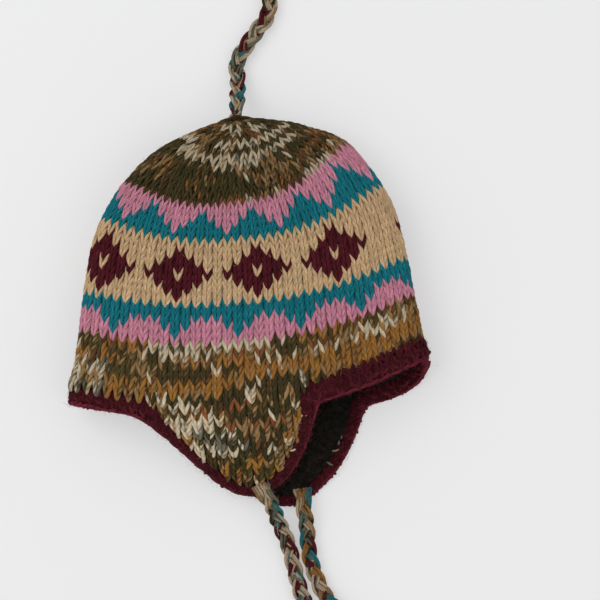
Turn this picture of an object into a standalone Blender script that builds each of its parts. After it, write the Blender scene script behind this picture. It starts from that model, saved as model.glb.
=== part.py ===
"""Knitted chullo hat: a lined wool cap with two earflaps and three braids, lying on its side.

Frame: metres, +Z up. The hat rests on the plane Z = 0 with its crown towards +Y and its head
opening towards -Y. The near side is the upper one. The origin is the middle of its footprint.
"""
import functools
import math

import bmesh
import bpy
import numpy as np

# Cap, in metres
RIM_HALF_WIDTH = 0.1230     # half the flat width across the folds, at the knit's lower edge
CROWN_REACH = 0.1714        # from the rim's folds to the tip
BODY_HEIGHT = 0.0560        # loft of the lying cap
FOLD_HEIGHT = 0.0260        # height of the side folds above the table
TIP_SHIFT = 0.0072          # how far the crown leans towards +X
NEAR_RIM_DIP = 0.0209       # how far the middle of the rim hangs below its folds
FAR_RIM_DIP = 0.0242
FOLD_LEAN = 0.0067          # the right fold lies higher than the left one by twice this
KNIT_WALL = 0.0040
LINING_WALL = 0.0020
GAP = 0.0003                # between pieces that touch

# Earflaps
NEAR_FLAP_REACH = 0.0653    # from the middle of the rim to the flap's knit tip, in plan
FAR_FLAP_REACH = 0.0700
NEAR_TIP_HEIGHT = 0.0200    # outer face of the near flap's tip above the table
NEAR_FLAP_BOW = 0.0045

# Edging
RIM_EDGING_WIDTH = 0.0120
FLAP_EDGING_WIDTH = 0.0085
EDGING_THICKNESS = 0.0072
EDGING_PROUD = 0.0015       # how far the edging stands out from the knit's outer face
CORNER_EASING = 2           # passes that round its way past the inner corners of the flaps

# Braids and their tassels
BRAID_DIAMETER = 0.0098
KNOT_DIAMETER = 0.0135
KNOT_LENGTH = 0.0110
TASSEL_LENGTH = 0.0300
TASSEL_DIAMETER = 0.0160
TASSEL_TIP_HEIGHT = 0.0040

# The hat reaches as far to +Y as to -Y of the origin
TIP_Y = (CROWN_REACH + FAR_RIM_DIP + FAR_FLAP_REACH + FLAP_EDGING_WIDTH + GAP) / 2
RIM_Y = TIP_Y - CROWN_REACH

# Counts
SIDE_COLUMNS = 30           # mesh columns across each side, from fold to fold
OUTER_ROWS = 20
INNER_ROWS = 9
FLAP_ROWS = 10
EDGING_SIDES = 8
NEAR_FLAP_COLUMNS = (11, 23)    # columns of the near side, counted from the right fold
FAR_FLAP_COLUMNS = (8, 20)      # the same on the far side

# Sections of the cap from its tip (row 0) to its rim (row 1). Shares:
# reach of CROWN_REACH, width of RIM_HALF_WIDTH, height of BODY_HEIGHT, low of FOLD_HEIGHT,
# near_dip of NEAR_RIM_DIP, far_dip of FAR_RIM_DIP, shift of TIP_SHIFT, lean of FOLD_LEAN.
SECTION_COLUMNS = ("row", "reach", "width", "height", "low", "near_dip", "far_dip", "shift", "lean")
SECTIONS = (
    (0.000, 1.000, 0.000, 0.464, 1.00, 0.00, 0.00, 0.96, 0.00),
    (0.100, 0.960, 0.245, 0.680, 0.50, 0.38, 0.33, 1.00, 0.15),
    (0.200, 0.914, 0.422, 0.800, 0.17, 0.90, 0.78, 0.70, 0.40),
    (0.350, 0.804, 0.647, 0.910, 0.00, 1.37, 1.14, 0.58, 1.00),
    (0.475, 0.645, 0.800, 0.965, 0.00, 1.21, 1.05, 0.80, 0.45),
    (0.700, 0.354, 0.915, 1.000, 0.00, 0.89, 0.86, 0.55, 0.25),
    (0.825, 0.199, 0.950, 1.000, 0.00, 0.90, 0.91, 0.33, 0.40),
    (1.000, 0.000, 1.000, 0.985, 0.00, 1.00, 1.00, 0.00, 0.75),
)
NEAR_ROUNDNESS = 2.6        # superellipse powers of a section's upper and lower half
FAR_ROUNDNESS = 3.5
NEAR_DIP_POWER = 2.6
FAR_DIP_TILT = 0.6          # the far rim hangs lower towards the right fold
TABLE_PRESS = 0.17          # share of the fold height by which the table flattens the underside

# Soft hollows in the near side. Shares: across of RIM_HALF_WIDTH, along of CROWN_REACH from the
# rim's folds, size of RIM_HALF_WIDTH, depth of BODY_HEIGHT.
DENT_COLUMNS = ("across", "along", "size", "depth")
DENTS = (
    (-0.52, 0.42, 0.30, 0.045),
    (0.46, 0.12, 0.26, 0.040),
    (0.30, 0.66, 0.22, 0.030),
)

# Earflap outlines from the root (down 0) to the tip (down 1). Shares: side of half the root
# width, shift of half the root width towards +X, fall of the drop from the rim to the tip.
FLAP_COLUMNS = ("down", "side", "shift", "fall")
NEAR_FLAP = (
    (0.00, 1.000, 0.000, 0.000),
    (0.25, 0.890, 0.085, 0.170),
    (0.50, 0.720, 0.170, 0.420),
    (0.75, 0.560, 0.225, 0.720),
    (1.00, 0.440, 0.250, 1.000),
)
FAR_FLAP = (
    (0.00, 1.000, 0.000, 0.000),
    (0.25, 0.920, 0.020, 0.250),
    (0.50, 0.770, 0.045, 0.500),
    (0.75, 0.590, 0.070, 0.750),
    (1.00, 0.380, 0.090, 1.000),
)
FLAP_NOSE_POWER = 5.0       # roundness of a flap's tip
FLAP_ROW_CROWDING = 1.6     # rows stand closer together towards the tip

# Routes of the braids, chosen by hand in metres, from where each leaves the hat to its knot
TOP_ROUTE = (
    (0.0070, 0.1377, 0.0260), (0.0081, 0.1451, 0.0222), (0.0089, 0.1526, 0.0158),
    (0.0097, 0.1599, 0.0096), (0.0099, 0.1676, 0.0060), (0.0103, 0.1762, 0.0050),
    (0.0168, 0.1862, 0.0050), (0.0255, 0.1967, 0.0050), (0.0341, 0.2065, 0.0050),
    (0.0372, 0.2182, 0.0050), (0.0377, 0.2261, 0.0050),
)
NEAR_ROUTE = (
    (0.0068, -0.1299, 0.0176), (0.0089, -0.1372, 0.0146), (0.0119, -0.1481, 0.0096),
    (0.0157, -0.1595, 0.0060), (0.0179, -0.1696, 0.0050), (0.0195, -0.1803, 0.0050),
    (0.0219, -0.1939, 0.0050), (0.0243, -0.2033, 0.0050), (0.0269, -0.2114, 0.0050),
)
FAR_ROUTE = (
    (0.0288, -0.1377, 0.0050), (0.0301, -0.1440, 0.0050), (0.0308, -0.1524, 0.0050),
    (0.0306, -0.1608, 0.0050), (0.0309, -0.1707, 0.0050), (0.0325, -0.1813, 0.0050),
    (0.0365, -0.1950, 0.0050), (0.0411, -0.2046, 0.0050), (0.0464, -0.2119, 0.0050),
)
ROUTE_STEPS = 3             # points read from the curve between two route points
BRAID_SIDES = 2             # bevel resolution of a braid's tube
TASSEL_LOCKS = 6

# Colours: linear RGB, roughness
MATERIALS = {
    "patterned_wool": ((0.23, 0.17, 0.09), 0.95),
    "maroon_wool": ((0.075, 0.008, 0.018), 0.95),
    "black_fleece": ((0.006, 0.006, 0.007), 1.0),
    "braid_wool": ((0.30, 0.24, 0.14), 0.95),
}


def wool_material(name):
    """A plain matt material for one kind of yarn or cloth."""
    colour, roughness = MATERIALS[name]
    material = bpy.data.materials.new(name)
    material.use_nodes = True
    shader = material.node_tree.nodes["Principled BSDF"]
    shader.inputs["Base Color"].default_value = (*colour, 1.0)
    shader.inputs["Roughness"].default_value = roughness
    shader.inputs["Metallic"].default_value = 0.0
    return material


def read_table(table, columns, name, place):
    """One column of a table at a place between its rows, along a smooth curve."""
    at = np.array([row[0] for row in table])
    values = np.array([row[columns.index(name)] for row in table])
    slopes = np.gradient(values, at)
    i = int(np.clip(np.searchsorted(at, place) - 1, 0, len(at) - 2))
    span = at[i + 1] - at[i]
    u = (place - at[i]) / span
    return ((2 * u ** 3 - 3 * u ** 2 + 1) * values[i] + (u ** 3 - 2 * u ** 2 + u) * span * slopes[i]
            + (3 * u ** 2 - 2 * u ** 3) * values[i + 1] + (u ** 3 - u ** 2) * span * slopes[i + 1])


def signed_power(value, power):
    return math.copysign(abs(value) ** power, value)


def dent_depth(x, y):
    """How far the soft hollows press a point of the near side down."""
    depth = 0.0
    for row in DENTS:
        dent = dict(zip(DENT_COLUMNS, row))
        away = math.hypot(x - dent["across"] * RIM_HALF_WIDTH, y - RIM_Y - dent["along"] * CROWN_REACH)
        depth += dent["depth"] * BODY_HEIGHT * math.exp(-(away / (dent["size"] * RIM_HALF_WIDTH)) ** 2)
    return depth


@functools.lru_cache(maxsize=None)
def section(row):
    """The shares of the cap's section at one row."""
    return {name: read_table(SECTIONS, SECTION_COLUMNS, name, row) for name in SECTION_COLUMNS}


def cap_point(row, angle):
    """Outer face of the cap. Angle 0 is the right fold, pi the left fold, and pi / 2 the near side."""
    share = section(row)
    across, up = math.cos(angle), math.sin(angle)
    near = up >= 0
    power = 2 / (NEAR_ROUNDNESS if near else FAR_ROUNDNESS)
    width = max(share["width"], 0.0) * RIM_HALF_WIDTH
    x = share["shift"] * TIP_SHIFT + width * signed_power(across, power)
    y = RIM_Y + share["reach"] * CROWN_REACH + share["lean"] * FOLD_LEAN * across
    if near:
        y -= share["near_dip"] * NEAR_RIM_DIP * up ** NEAR_DIP_POWER
        rise = max(share["height"] * BODY_HEIGHT - FOLD_HEIGHT, 0.0)
        lift = up ** power
        z = FOLD_HEIGHT + rise * lift - dent_depth(x, y) * lift
    else:
        y += share["far_dip"] * FAR_RIM_DIP * up * (1 + FAR_DIP_TILT * row * across)
        fall = FOLD_HEIGHT * (1 - share["low"]) * (1 + TABLE_PRESS)
        z = max(FOLD_HEIGHT - fall * abs(up) ** power, 0.0)
    return np.array((x, y, z))


def even_angles(row):
    """Angles that part each side of a section into columns of equal length, right fold first."""
    angles = []
    for start in (0.0, math.pi):
        fine = np.linspace(start, start + math.pi, 241)
        points = np.array([cap_point(row, (a + math.pi) % (2 * math.pi) - math.pi) for a in fine])
        length = np.concatenate(([0.0], np.cumsum(np.linalg.norm(np.diff(points, axis=0), axis=1))))
        wanted = np.linspace(0.0, length[-1], SIDE_COLUMNS + 1)[:-1]
        angles.extend(np.interp(wanted, length, fine))
    return [(a + math.pi) % (2 * math.pi) - math.pi for a in angles]


def cap_rings(rows):
    """Outer points and outward normals of the cap, one ring a row."""
    points = np.array([[cap_point(row, a) for a in even_angles(row)] for row in rows])
    normals = np.empty_like(points)
    for k, row in enumerate(rows):
        before, after = max(row - 0.02, 0.02), min(row + 0.02, 1.0)
        angles = even_angles(row)
        ahead = np.array([cap_point(after, a) for a in angles]) - np.array(
            [cap_point(before, a) for a in angles])
        around = np.roll(points[k], -1, axis=0) - np.roll(points[k], 1, axis=0)
        normal = np.cross(around, ahead)
        normals[k] = normal / np.linalg.norm(normal, axis=1)[:, None]
    return points, normals


def lowered(points, normals, depth):
    """Points moved into the wall by a depth, never below the table."""
    moved = points - normals * depth
    moved[..., 2] = np.maximum(moved[..., 2], 0.0)
    return moved


def add_mesh(name, vertices, faces, material):
    """One closed mesh object, shaded smooth, with its faces turned outwards."""
    mesh = bpy.data.meshes.new(name)
    mesh.from_pydata([tuple(v) for v in vertices], [], faces)
    builder = bmesh.new()
    builder.from_mesh(mesh)
    bmesh.ops.recalc_face_normals(builder, faces=builder.faces)
    builder.to_mesh(mesh)
    builder.free()
    mesh.materials.append(material)
    mesh.shade_smooth()
    thing = bpy.data.objects.new(name, mesh)
    bpy.context.scene.collection.objects.link(thing)
    return thing


def grid_faces(first, rows, columns, closed):
    """Triangles between the rows of a grid of vertices that starts at index first."""
    faces = []
    for r in range(rows - 1):
        for c in range(columns if closed else columns - 1):
            a, b = first + r * columns + c, first + r * columns + (c + 1) % columns
            faces += [(a, b, b + columns), (a, b + columns, a + columns)]
    return faces


def add_shell(name, outer, outer_tip, inner, inner_tip, material):
    """An open cap: rings of an outer and an inner face, each closed by its tip, and a rim wall."""
    count = outer.shape[1]
    vertices, faces, starts = [], [], []
    for rings, tip in ((outer, outer_tip), (inner, inner_tip)):
        first = len(vertices)
        starts.append(first + (len(rings) - 1) * count)
        vertices += [p for ring in rings for p in ring] + [tip]
        faces += grid_faces(first, len(rings), count, True)
        tip_index = len(vertices) - 1
        faces += [(tip_index, first + c, first + (c + 1) % count) for c in range(count)]
    for c in range(count):
        d = (c + 1) % count
        a, b = starts[0] + c, starts[0] + d
        e, f = starts[1] + c, starts[1] + d
        faces += [(a, b, f), (a, f, e)]
    return add_mesh(name, vertices, faces, material)


def add_panel(name, outer, outer_tip, inner, inner_tip, material):
    """A flap: rows of an outer and an inner face that narrow to a tip, and a wall round them."""
    rows, count = outer.shape[:2]
    vertices, faces, loops = [], [], []
    for grid, tip in ((outer, outer_tip), (inner, inner_tip)):
        first = len(vertices)
        vertices += [p for row in grid for p in row] + [tip]
        tip_index = len(vertices) - 1
        faces += grid_faces(first, rows, count, False)
        last = first + (rows - 1) * count
        faces += [(tip_index, last + c, last + c + 1) for c in range(count - 1)]
        loops.append([first + c for c in range(count)]
                     + [first + r * count + count - 1 for r in range(1, rows)] + [tip_index]
                     + [first + r * count for r in range(rows - 1, 0, -1)])
    total = len(loops[0])
    for i in range(total):
        j = (i + 1) % total
        faces += [(loops[0][i], loops[0][j], loops[1][j]), (loops[0][i], loops[1][j], loops[1][i])]
    return add_mesh(name, vertices, faces, material)


def flap_rows(root, root_normals, table, tip_y, tip_z, bow):
    """Outer points and normals of a flap that hangs from a stretch of the rim."""
    shares = [1 - (1 - i / FLAP_ROWS) ** FLAP_ROW_CROWDING for i in range(FLAP_ROWS)]
    count = len(root)
    middle_x = (root[0][0] + root[-1][0]) / 2
    half = abs(root[0][0] - root[-1][0]) / 2
    tip = np.array((middle_x + read_table(table, FLAP_COLUMNS, "shift", 1.0) * half, tip_y, tip_z))
    grid = np.empty((FLAP_ROWS, count, 3))
    for r, down in enumerate(shares):
        side = read_table(table, FLAP_COLUMNS, "side", down) * math.sqrt(1 - down ** FLAP_NOSE_POWER)
        shift = read_table(table, FLAP_COLUMNS, "shift", down) * half
        fall = read_table(table, FLAP_COLUMNS, "fall", down)
        for c in range(count):
            across = 2 * c / (count - 1) - 1
            lift = bow * math.sin(math.pi * down) * (1 - across ** 2)
            grid[r, c] = (middle_x + shift + (root[c][0] - middle_x) * side,
                          root[c][1] + (tip_y - root[c][1]) * down,
                          max(root[c][2] + (tip_z - root[c][2]) * fall + lift, 0.0))
    normals = np.empty_like(grid)
    for r in range(FLAP_ROWS):
        above = grid[max(r - 1, 0)]
        below = grid[r + 1] if r + 1 < FLAP_ROWS else np.repeat([tip], count, axis=0)
        for c in range(count):
            across = grid[r, min(c + 1, count - 1)] - grid[r, max(c - 1, 0)]
            normal = np.cross(across, below[c] - above[c])
            normals[r, c] = normal / np.linalg.norm(normal)
    if np.mean(np.sum(normals[1] * root_normals, axis=1)) < 0:
        normals = -normals
    normals[0] = root_normals
    second = normals[1] + root_normals
    normals[1] = second / np.linalg.norm(second, axis=1)[:, None]
    tip_normal = normals[-1].mean(axis=0)
    return grid, normals, tip, tip_normal / np.linalg.norm(tip_normal)


def smoothed(values, passes):
    """A closed row of values, each drawn towards its neighbours a few times."""
    for _ in range(passes):
        values = (np.roll(values, 1, axis=0) + 2 * values + np.roll(values, -1, axis=0)) / 4
    return values


def unit(vectors):
    return vectors / np.linalg.norm(vectors, axis=1)[:, None]


def edging_frame(path, normals):
    """The way outwards from the knit's edge at each point of the edging's path."""
    along = np.roll(path, -1, axis=0) - np.roll(path, 1, axis=0)
    return unit(np.cross(unit(along), normals))


def add_edging(path, normals, widths, material):
    """A rounded band that follows the knit's edge all the way round, just clear of it."""
    normals = unit(smoothed(normals, 3))
    # At the inner corners between rim and flap the band takes a rounder way outside the knit
    for _ in range(CORNER_EASING):
        outwards = edging_frame(path, normals)
        pull = (np.roll(path, 1, axis=0) + np.roll(path, -1, axis=0)) / 2 - path
        amount = np.maximum(np.sum(pull * outwards, axis=1), 0.0)
        path = path + outwards * (0.5 * amount)[:, None]
    outwards = edging_frame(path, normals)
    widths = smoothed(widths, 3)
    vertices = []
    for point, normal, out, width in zip(path, normals, outwards, widths):
        middle = point + out * (GAP + width / 2)
        for s in range(EDGING_SIDES):
            angle = 2 * math.pi * (s + 0.5) / EDGING_SIDES
            place = (middle + out * (width / 2) * signed_power(math.cos(angle), 0.8)
                     + normal * (EDGING_THICKNESS / 2) * signed_power(math.sin(angle), 0.8))
            vertices.append((place[0], place[1], max(place[2], 0.0)))
    count = len(path)
    faces = grid_faces(0, count, EDGING_SIDES, True)
    last = (count - 1) * EDGING_SIDES
    for c in range(EDGING_SIDES):
        d = (c + 1) % EDGING_SIDES
        faces += [(last + c, last + d, d), (last + c, d, c)]
    return add_mesh("edging", vertices, faces, material)


def smooth_route(route):
    """Points on a smooth curve through a braid's route points."""
    points = [np.array(p) for p in route]
    ends = [2 * points[0] - points[1]] + points + [2 * points[-1] - points[-2]]
    curve = []
    for i in range(1, len(ends) - 2):
        a, b, c, d = ends[i - 1:i + 3]
        for step in range(ROUTE_STEPS):
            u = step / ROUTE_STEPS
            curve.append(0.5 * (2 * b + (c - a) * u + (2 * a - 5 * b + 4 * c - d) * u ** 2
                                + (3 * b - a - 3 * c + d) * u ** 3))
    return curve + [points[-1]]


def add_braid(name, route, material):
    """The plain tube that a three-strand braid fills."""
    curve = bpy.data.curves.new(name, "CURVE")
    curve.dimensions = "3D"
    curve.bevel_depth = BRAID_DIAMETER / 2
    curve.bevel_resolution = BRAID_SIDES
    curve.use_fill_caps = True
    points = smooth_route(route)
    spline = curve.splines.new("POLY")
    spline.points.add(len(points) - 1)
    for place, point in zip(points, spline.points):
        point.co = (*place, 1.0)
    curve.materials.append(material)
    thing = bpy.data.objects.new(name, curve)
    bpy.context.scene.collection.objects.link(thing)
    return thing


# Outline of a knot and its tassel. Shares: along of the whole length from the braid, radius of
# half the knot's or the tassel's diameter, lobes of the radius.
TASSEL_COLUMNS = ("along", "knot", "tassel", "lobes")
TASSEL_OUTLINE = (
    (0.00, 0.62, 0.00, 0.00),
    (0.06, 0.92, 0.00, 0.00),
    (0.14, 1.00, 0.00, 0.03),
    (0.22, 0.90, 0.00, 0.06),
    (0.29, 0.62, 0.00, 0.10),
    (0.45, 0.00, 0.78, 0.14),
    (0.75, 0.00, 1.00, 0.18),
    (1.00, 0.00, 0.86, 0.22),
)


def add_tassel(name, route, material):
    """A knot and its loose locks, fused, going on from the end of a braid along the table."""
    end = np.array(route[-1])
    way = end - np.array(route[-2])
    way[2] = 0.0
    way /= np.linalg.norm(way)
    side = np.array((-way[1], way[0], 0.0))
    length = KNOT_LENGTH + TASSEL_LENGTH
    sides = 3 * TASSEL_LOCKS
    vertices = []
    for row in TASSEL_OUTLINE:
        share = dict(zip(TASSEL_COLUMNS, row))
        radius = share["knot"] * KNOT_DIAMETER / 2 + share["tassel"] * TASSEL_DIAMETER / 2
        flat = 1.0 if share["tassel"] == 0 else 0.55
        middle = end + way * (GAP + share["along"] * length)
        middle[2] = max(end[2] + (TASSEL_TIP_HEIGHT - end[2]) * share["along"], radius * flat)
        for s in range(sides):
            angle = 2 * math.pi * s / sides
            out = radius * (1 - share["lobes"] * (0.5 - 0.5 * math.cos(TASSEL_LOCKS * angle)))
            place = middle + side * out * math.cos(angle)
            place[2] += out * flat * math.sin(angle)
            vertices.append(place)
    rows = len(TASSEL_OUTLINE)
    faces = grid_faces(0, rows, sides, True)
    for start, middle in ((0, sum(vertices[:sides]) / sides),
                          ((rows - 1) * sides, sum(vertices[-sides:]) / sides)):
        faces += [(rows * sides + (start > 0), start + s, start + (s + 1) % sides) for s in range(sides)]
        vertices = vertices[:rows * sides] + vertices[rows * sides:] + [middle]
    return add_mesh(name, vertices, faces, material)


def build_hat():
    wool = wool_material("patterned_wool")
    maroon = wool_material("maroon_wool")
    fleece = wool_material("black_fleece")
    braid = wool_material("braid_wool")

    outer_rows = [(i + 1) / OUTER_ROWS for i in range(OUTER_ROWS)]
    inner_rows = [(i + 1) / INNER_ROWS for i in range(INNER_ROWS)]
    lining_depth = KNIT_WALL + GAP
    inner_depth = lining_depth + LINING_WALL
    tip = cap_point(0.0, math.pi / 2)
    inwards = np.array((0.0, -1.0, 0.0))

    outer, _ = cap_rings(outer_rows)
    rings, normals = cap_rings(inner_rows)
    add_shell("crown", outer, tip, lowered(rings, normals, KNIT_WALL), tip + inwards * KNIT_WALL, wool)
    add_shell("crown_lining", lowered(rings, normals, lining_depth), tip + inwards * lining_depth,
              lowered(rings, normals, inner_depth), tip + inwards * inner_depth, fleece)

    # The rim's end wall, and the way out of it
    rim, rim_normals = rings[-1], normals[-1]
    around = np.roll(rim, -1, axis=0) - np.roll(rim, 1, axis=0)
    out = unit(np.cross(rim_normals, around))
    out = np.where((out[:, 1] > 0)[:, None], -out, out)

    boundaries = {}
    sides = (
        ("near", NEAR_FLAP, NEAR_FLAP_COLUMNS, 0, NEAR_FLAP_REACH, NEAR_TIP_HEIGHT, NEAR_FLAP_BOW),
        ("far", FAR_FLAP, FAR_FLAP_COLUMNS, SIDE_COLUMNS, FAR_FLAP_REACH, 0.0, 0.0),
    )
    for name, table, columns, turn, reach, tip_z, bow in sides:
        if turn:
            picked = [2 * SIDE_COLUMNS - c for c in range(columns[0], columns[1] + 1)]
        else:
            picked = list(range(columns[0], columns[1] + 1))
        root = rim[picked] + out[picked] * GAP
        middle = root[len(root) // 2]
        grid, grid_normals, flap_tip, tip_normal = flap_rows(
            root, rim_normals[picked], table, middle[1] - reach, tip_z, bow)
        faces = []
        for depth in (0.0, KNIT_WALL, lining_depth, inner_depth):
            sunk = flap_tip - tip_normal * depth
            faces.append((lowered(grid, grid_normals, depth), np.array((*sunk[:2], max(sunk[2], 0.0)))))
        add_panel(f"{name}_earflap", *faces[0], *faces[1], wool)
        add_panel(f"{name}_flap_lining", *faces[2], *faces[3], fleece)
        boundaries[name] = (grid, grid_normals, flap_tip, tip_normal)

    # The edging's path: near flap from right to left, left brim, far flap, right brim
    path, path_normals, widths = [], [], []

    def follow(points, directions, width):
        path.extend(points)
        path_normals.extend(directions)
        widths.extend([width] * len(points))

    near_right, near_left = NEAR_FLAP_COLUMNS
    far_right, far_left = FAR_FLAP_COLUMNS
    for name in ("near", "far"):
        grid, grid_normals, flap_tip, tip_normal = boundaries[name]
        first, last = (0, -1) if name == "near" else (-1, 0)
        follow(grid[1:, first], grid_normals[1:, first], FLAP_EDGING_WIDTH)
        follow([flap_tip], [tip_normal], FLAP_EDGING_WIDTH)
        follow(grid[:0:-1, last], grid_normals[:0:-1, last], FLAP_EDGING_WIDTH)
        if name == "near":
            brim = list(range(near_left, 2 * SIDE_COLUMNS - far_left + 1))
        else:
            brim = [c % (2 * SIDE_COLUMNS)
                    for c in range(2 * SIDE_COLUMNS - far_right, 2 * SIDE_COLUMNS + near_right + 1)]
        follow(rim[brim], rim_normals[brim], RIM_EDGING_WIDTH)
    middle_depth = EDGING_THICKNESS / 2 - EDGING_PROUD
    path = np.array(path) - np.array(path_normals) * middle_depth
    if np.mean(edging_frame(path, np.array(path_normals))[:, 1]) > 0:
        path, path_normals, widths = path[::-1], path_normals[::-1], widths[::-1]
    add_edging(path, np.array(path_normals), np.array(widths), maroon)

    for name, route in (("top", TOP_ROUTE), ("near", NEAR_ROUTE), ("far", FAR_ROUTE)):
        add_braid(f"{name}_braid", route, braid)
        add_tassel(f"{name}_tassel", route, braid)


for old in list(bpy.data.objects):
    bpy.data.objects.remove(old, do_unlink=True)
build_hat()
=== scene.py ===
"""Chullo hat, knitted in the round and lined, lying on its side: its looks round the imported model.

Frame: metres, +Z up. The crown points to +Y, the head opening to -Y, and the near side is the upper one.
"""

import functools
import math

import bpy
import numpy as np
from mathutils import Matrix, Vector, noise


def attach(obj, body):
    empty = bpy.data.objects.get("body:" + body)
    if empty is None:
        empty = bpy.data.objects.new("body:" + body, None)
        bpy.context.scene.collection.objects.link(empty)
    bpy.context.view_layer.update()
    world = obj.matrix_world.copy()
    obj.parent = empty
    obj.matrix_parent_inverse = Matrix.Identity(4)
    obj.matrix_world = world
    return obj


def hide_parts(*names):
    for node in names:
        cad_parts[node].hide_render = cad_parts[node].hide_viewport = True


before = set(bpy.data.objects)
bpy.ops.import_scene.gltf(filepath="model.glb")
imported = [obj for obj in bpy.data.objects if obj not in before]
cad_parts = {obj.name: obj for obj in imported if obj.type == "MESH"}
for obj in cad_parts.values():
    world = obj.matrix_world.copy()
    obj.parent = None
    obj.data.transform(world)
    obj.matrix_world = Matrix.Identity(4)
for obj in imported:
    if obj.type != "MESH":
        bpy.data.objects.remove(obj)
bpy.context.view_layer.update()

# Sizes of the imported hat, in metres
RIM_HALF_WIDTH = 0.1230
CROWN_REACH = 0.1714
BODY_HEIGHT = 0.0560
FOLD_HEIGHT = 0.0260
TIP_SHIFT = 0.0072
NEAR_RIM_DIP = 0.0209
FAR_RIM_DIP = 0.0242
FOLD_LEAN = 0.0067
KNIT_WALL = 0.0040
LINING_WALL = 0.0020
GAP = 0.0003
NEAR_FLAP_REACH = 0.0653
FAR_FLAP_REACH = 0.0700
NEAR_TIP_HEIGHT = 0.0200
NEAR_FLAP_BOW = 0.0045
RIM_EDGING_WIDTH = 0.0120
FLAP_EDGING_WIDTH = 0.0085
EDGING_THICKNESS = 0.0072
EDGING_PROUD = 0.0015
KNOT_DIAMETER = 0.0135
KNOT_LENGTH = 0.0110
TASSEL_LENGTH = 0.0300
TASSEL_DIAMETER = 0.0160
TASSEL_TIP_HEIGHT = 0.0040
TIP_Y = (CROWN_REACH + FAR_RIM_DIP + FAR_FLAP_REACH + FLAP_EDGING_WIDTH + GAP) / 2
RIM_Y = TIP_Y - CROWN_REACH

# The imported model's grid: columns of one side of the cap, the flaps' first and last column and their
# rows, and how often the edging's corners were eased
SIDE_COLUMNS = 30
NEAR_FLAP_COLUMNS = (11, 23)
FAR_FLAP_COLUMNS = (8, 20)
FLAP_ROWS = 10
CORNER_EASING = 2

# Sections of the cap from its tip to its rim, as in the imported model
SECTION_COLUMNS = ("row", "reach", "width", "height", "low", "near_dip", "far_dip", "shift", "lean")
SECTIONS = (
    (0.000, 1.000, 0.000, 0.464, 1.00, 0.00, 0.00, 0.96, 0.00),
    (0.100, 0.960, 0.245, 0.680, 0.50, 0.38, 0.33, 1.00, 0.15),
    (0.200, 0.914, 0.422, 0.800, 0.17, 0.90, 0.78, 0.70, 0.40),
    (0.350, 0.804, 0.647, 0.910, 0.00, 1.37, 1.14, 0.58, 1.00),
    (0.475, 0.645, 0.800, 0.965, 0.00, 1.21, 1.05, 0.80, 0.45),
    (0.700, 0.354, 0.915, 1.000, 0.00, 0.89, 0.86, 0.55, 0.25),
    (0.825, 0.199, 0.950, 1.000, 0.00, 0.90, 0.91, 0.33, 0.40),
    (1.000, 0.000, 1.000, 0.985, 0.00, 1.00, 1.00, 0.00, 0.75),
)
NEAR_ROUNDNESS = 2.6
FAR_ROUNDNESS = 3.5
NEAR_DIP_POWER = 2.6
FAR_DIP_TILT = 0.6
TABLE_PRESS = 0.17
DENT_COLUMNS = ("across", "along", "size", "depth")
DENTS = (
    (-0.52, 0.42, 0.30, 0.045),
    (0.46, 0.12, 0.26, 0.040),
    (0.30, 0.66, 0.22, 0.030),
)

FLAP_COLUMNS = ("down", "side", "shift", "fall")
NEAR_FLAP = (
    (0.00, 1.000, 0.000, 0.000),
    (0.25, 0.890, 0.085, 0.170),
    (0.50, 0.720, 0.170, 0.420),
    (0.75, 0.560, 0.225, 0.720),
    (1.00, 0.440, 0.250, 1.000),
)
FAR_FLAP = (
    (0.00, 1.000, 0.000, 0.000),
    (0.25, 0.920, 0.020, 0.250),
    (0.50, 0.770, 0.045, 0.500),
    (0.75, 0.590, 0.070, 0.750),
    (1.00, 0.380, 0.090, 1.000),
)
FLAP_NOSE_POWER = 5.0

# Routes of the braids, in metres, from where each leaves the hat to its knot
TOP_ROUTE = (
    (0.0070, 0.1377, 0.0260), (0.0081, 0.1451, 0.0222), (0.0089, 0.1526, 0.0158),
    (0.0097, 0.1599, 0.0096), (0.0099, 0.1676, 0.0060), (0.0103, 0.1762, 0.0050),
    (0.0168, 0.1862, 0.0050), (0.0255, 0.1967, 0.0050), (0.0341, 0.2065, 0.0050),
    (0.0372, 0.2182, 0.0050), (0.0377, 0.2261, 0.0050),
)
NEAR_ROUTE = (
    (0.0068, -0.1299, 0.0176), (0.0089, -0.1372, 0.0146), (0.0119, -0.1481, 0.0096),
    (0.0157, -0.1595, 0.0060), (0.0179, -0.1696, 0.0050), (0.0195, -0.1803, 0.0050),
    (0.0219, -0.1939, 0.0050), (0.0243, -0.2033, 0.0050), (0.0269, -0.2114, 0.0050),
)
FAR_ROUTE = (
    (0.0288, -0.1377, 0.0050), (0.0301, -0.1440, 0.0050), (0.0308, -0.1524, 0.0050),
    (0.0306, -0.1608, 0.0050), (0.0309, -0.1707, 0.0050), (0.0325, -0.1813, 0.0050),
    (0.0365, -0.1950, 0.0050), (0.0411, -0.2046, 0.0050), (0.0464, -0.2119, 0.0050),
)

LINING_DEPTH = KNIT_WALL + GAP
YARN_FLOOR = 0.0002          # no yarn lies lower than this
SEED = 11
rng = np.random.default_rng(SEED)


def linear(*levels):
    """Linear colour from sRGB levels of 0 to 255."""
    return tuple((v / 255 / 12.92) if v < 11 else ((v / 255 + 0.055) / 1.055) ** 2.4 for v in levels)


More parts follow.
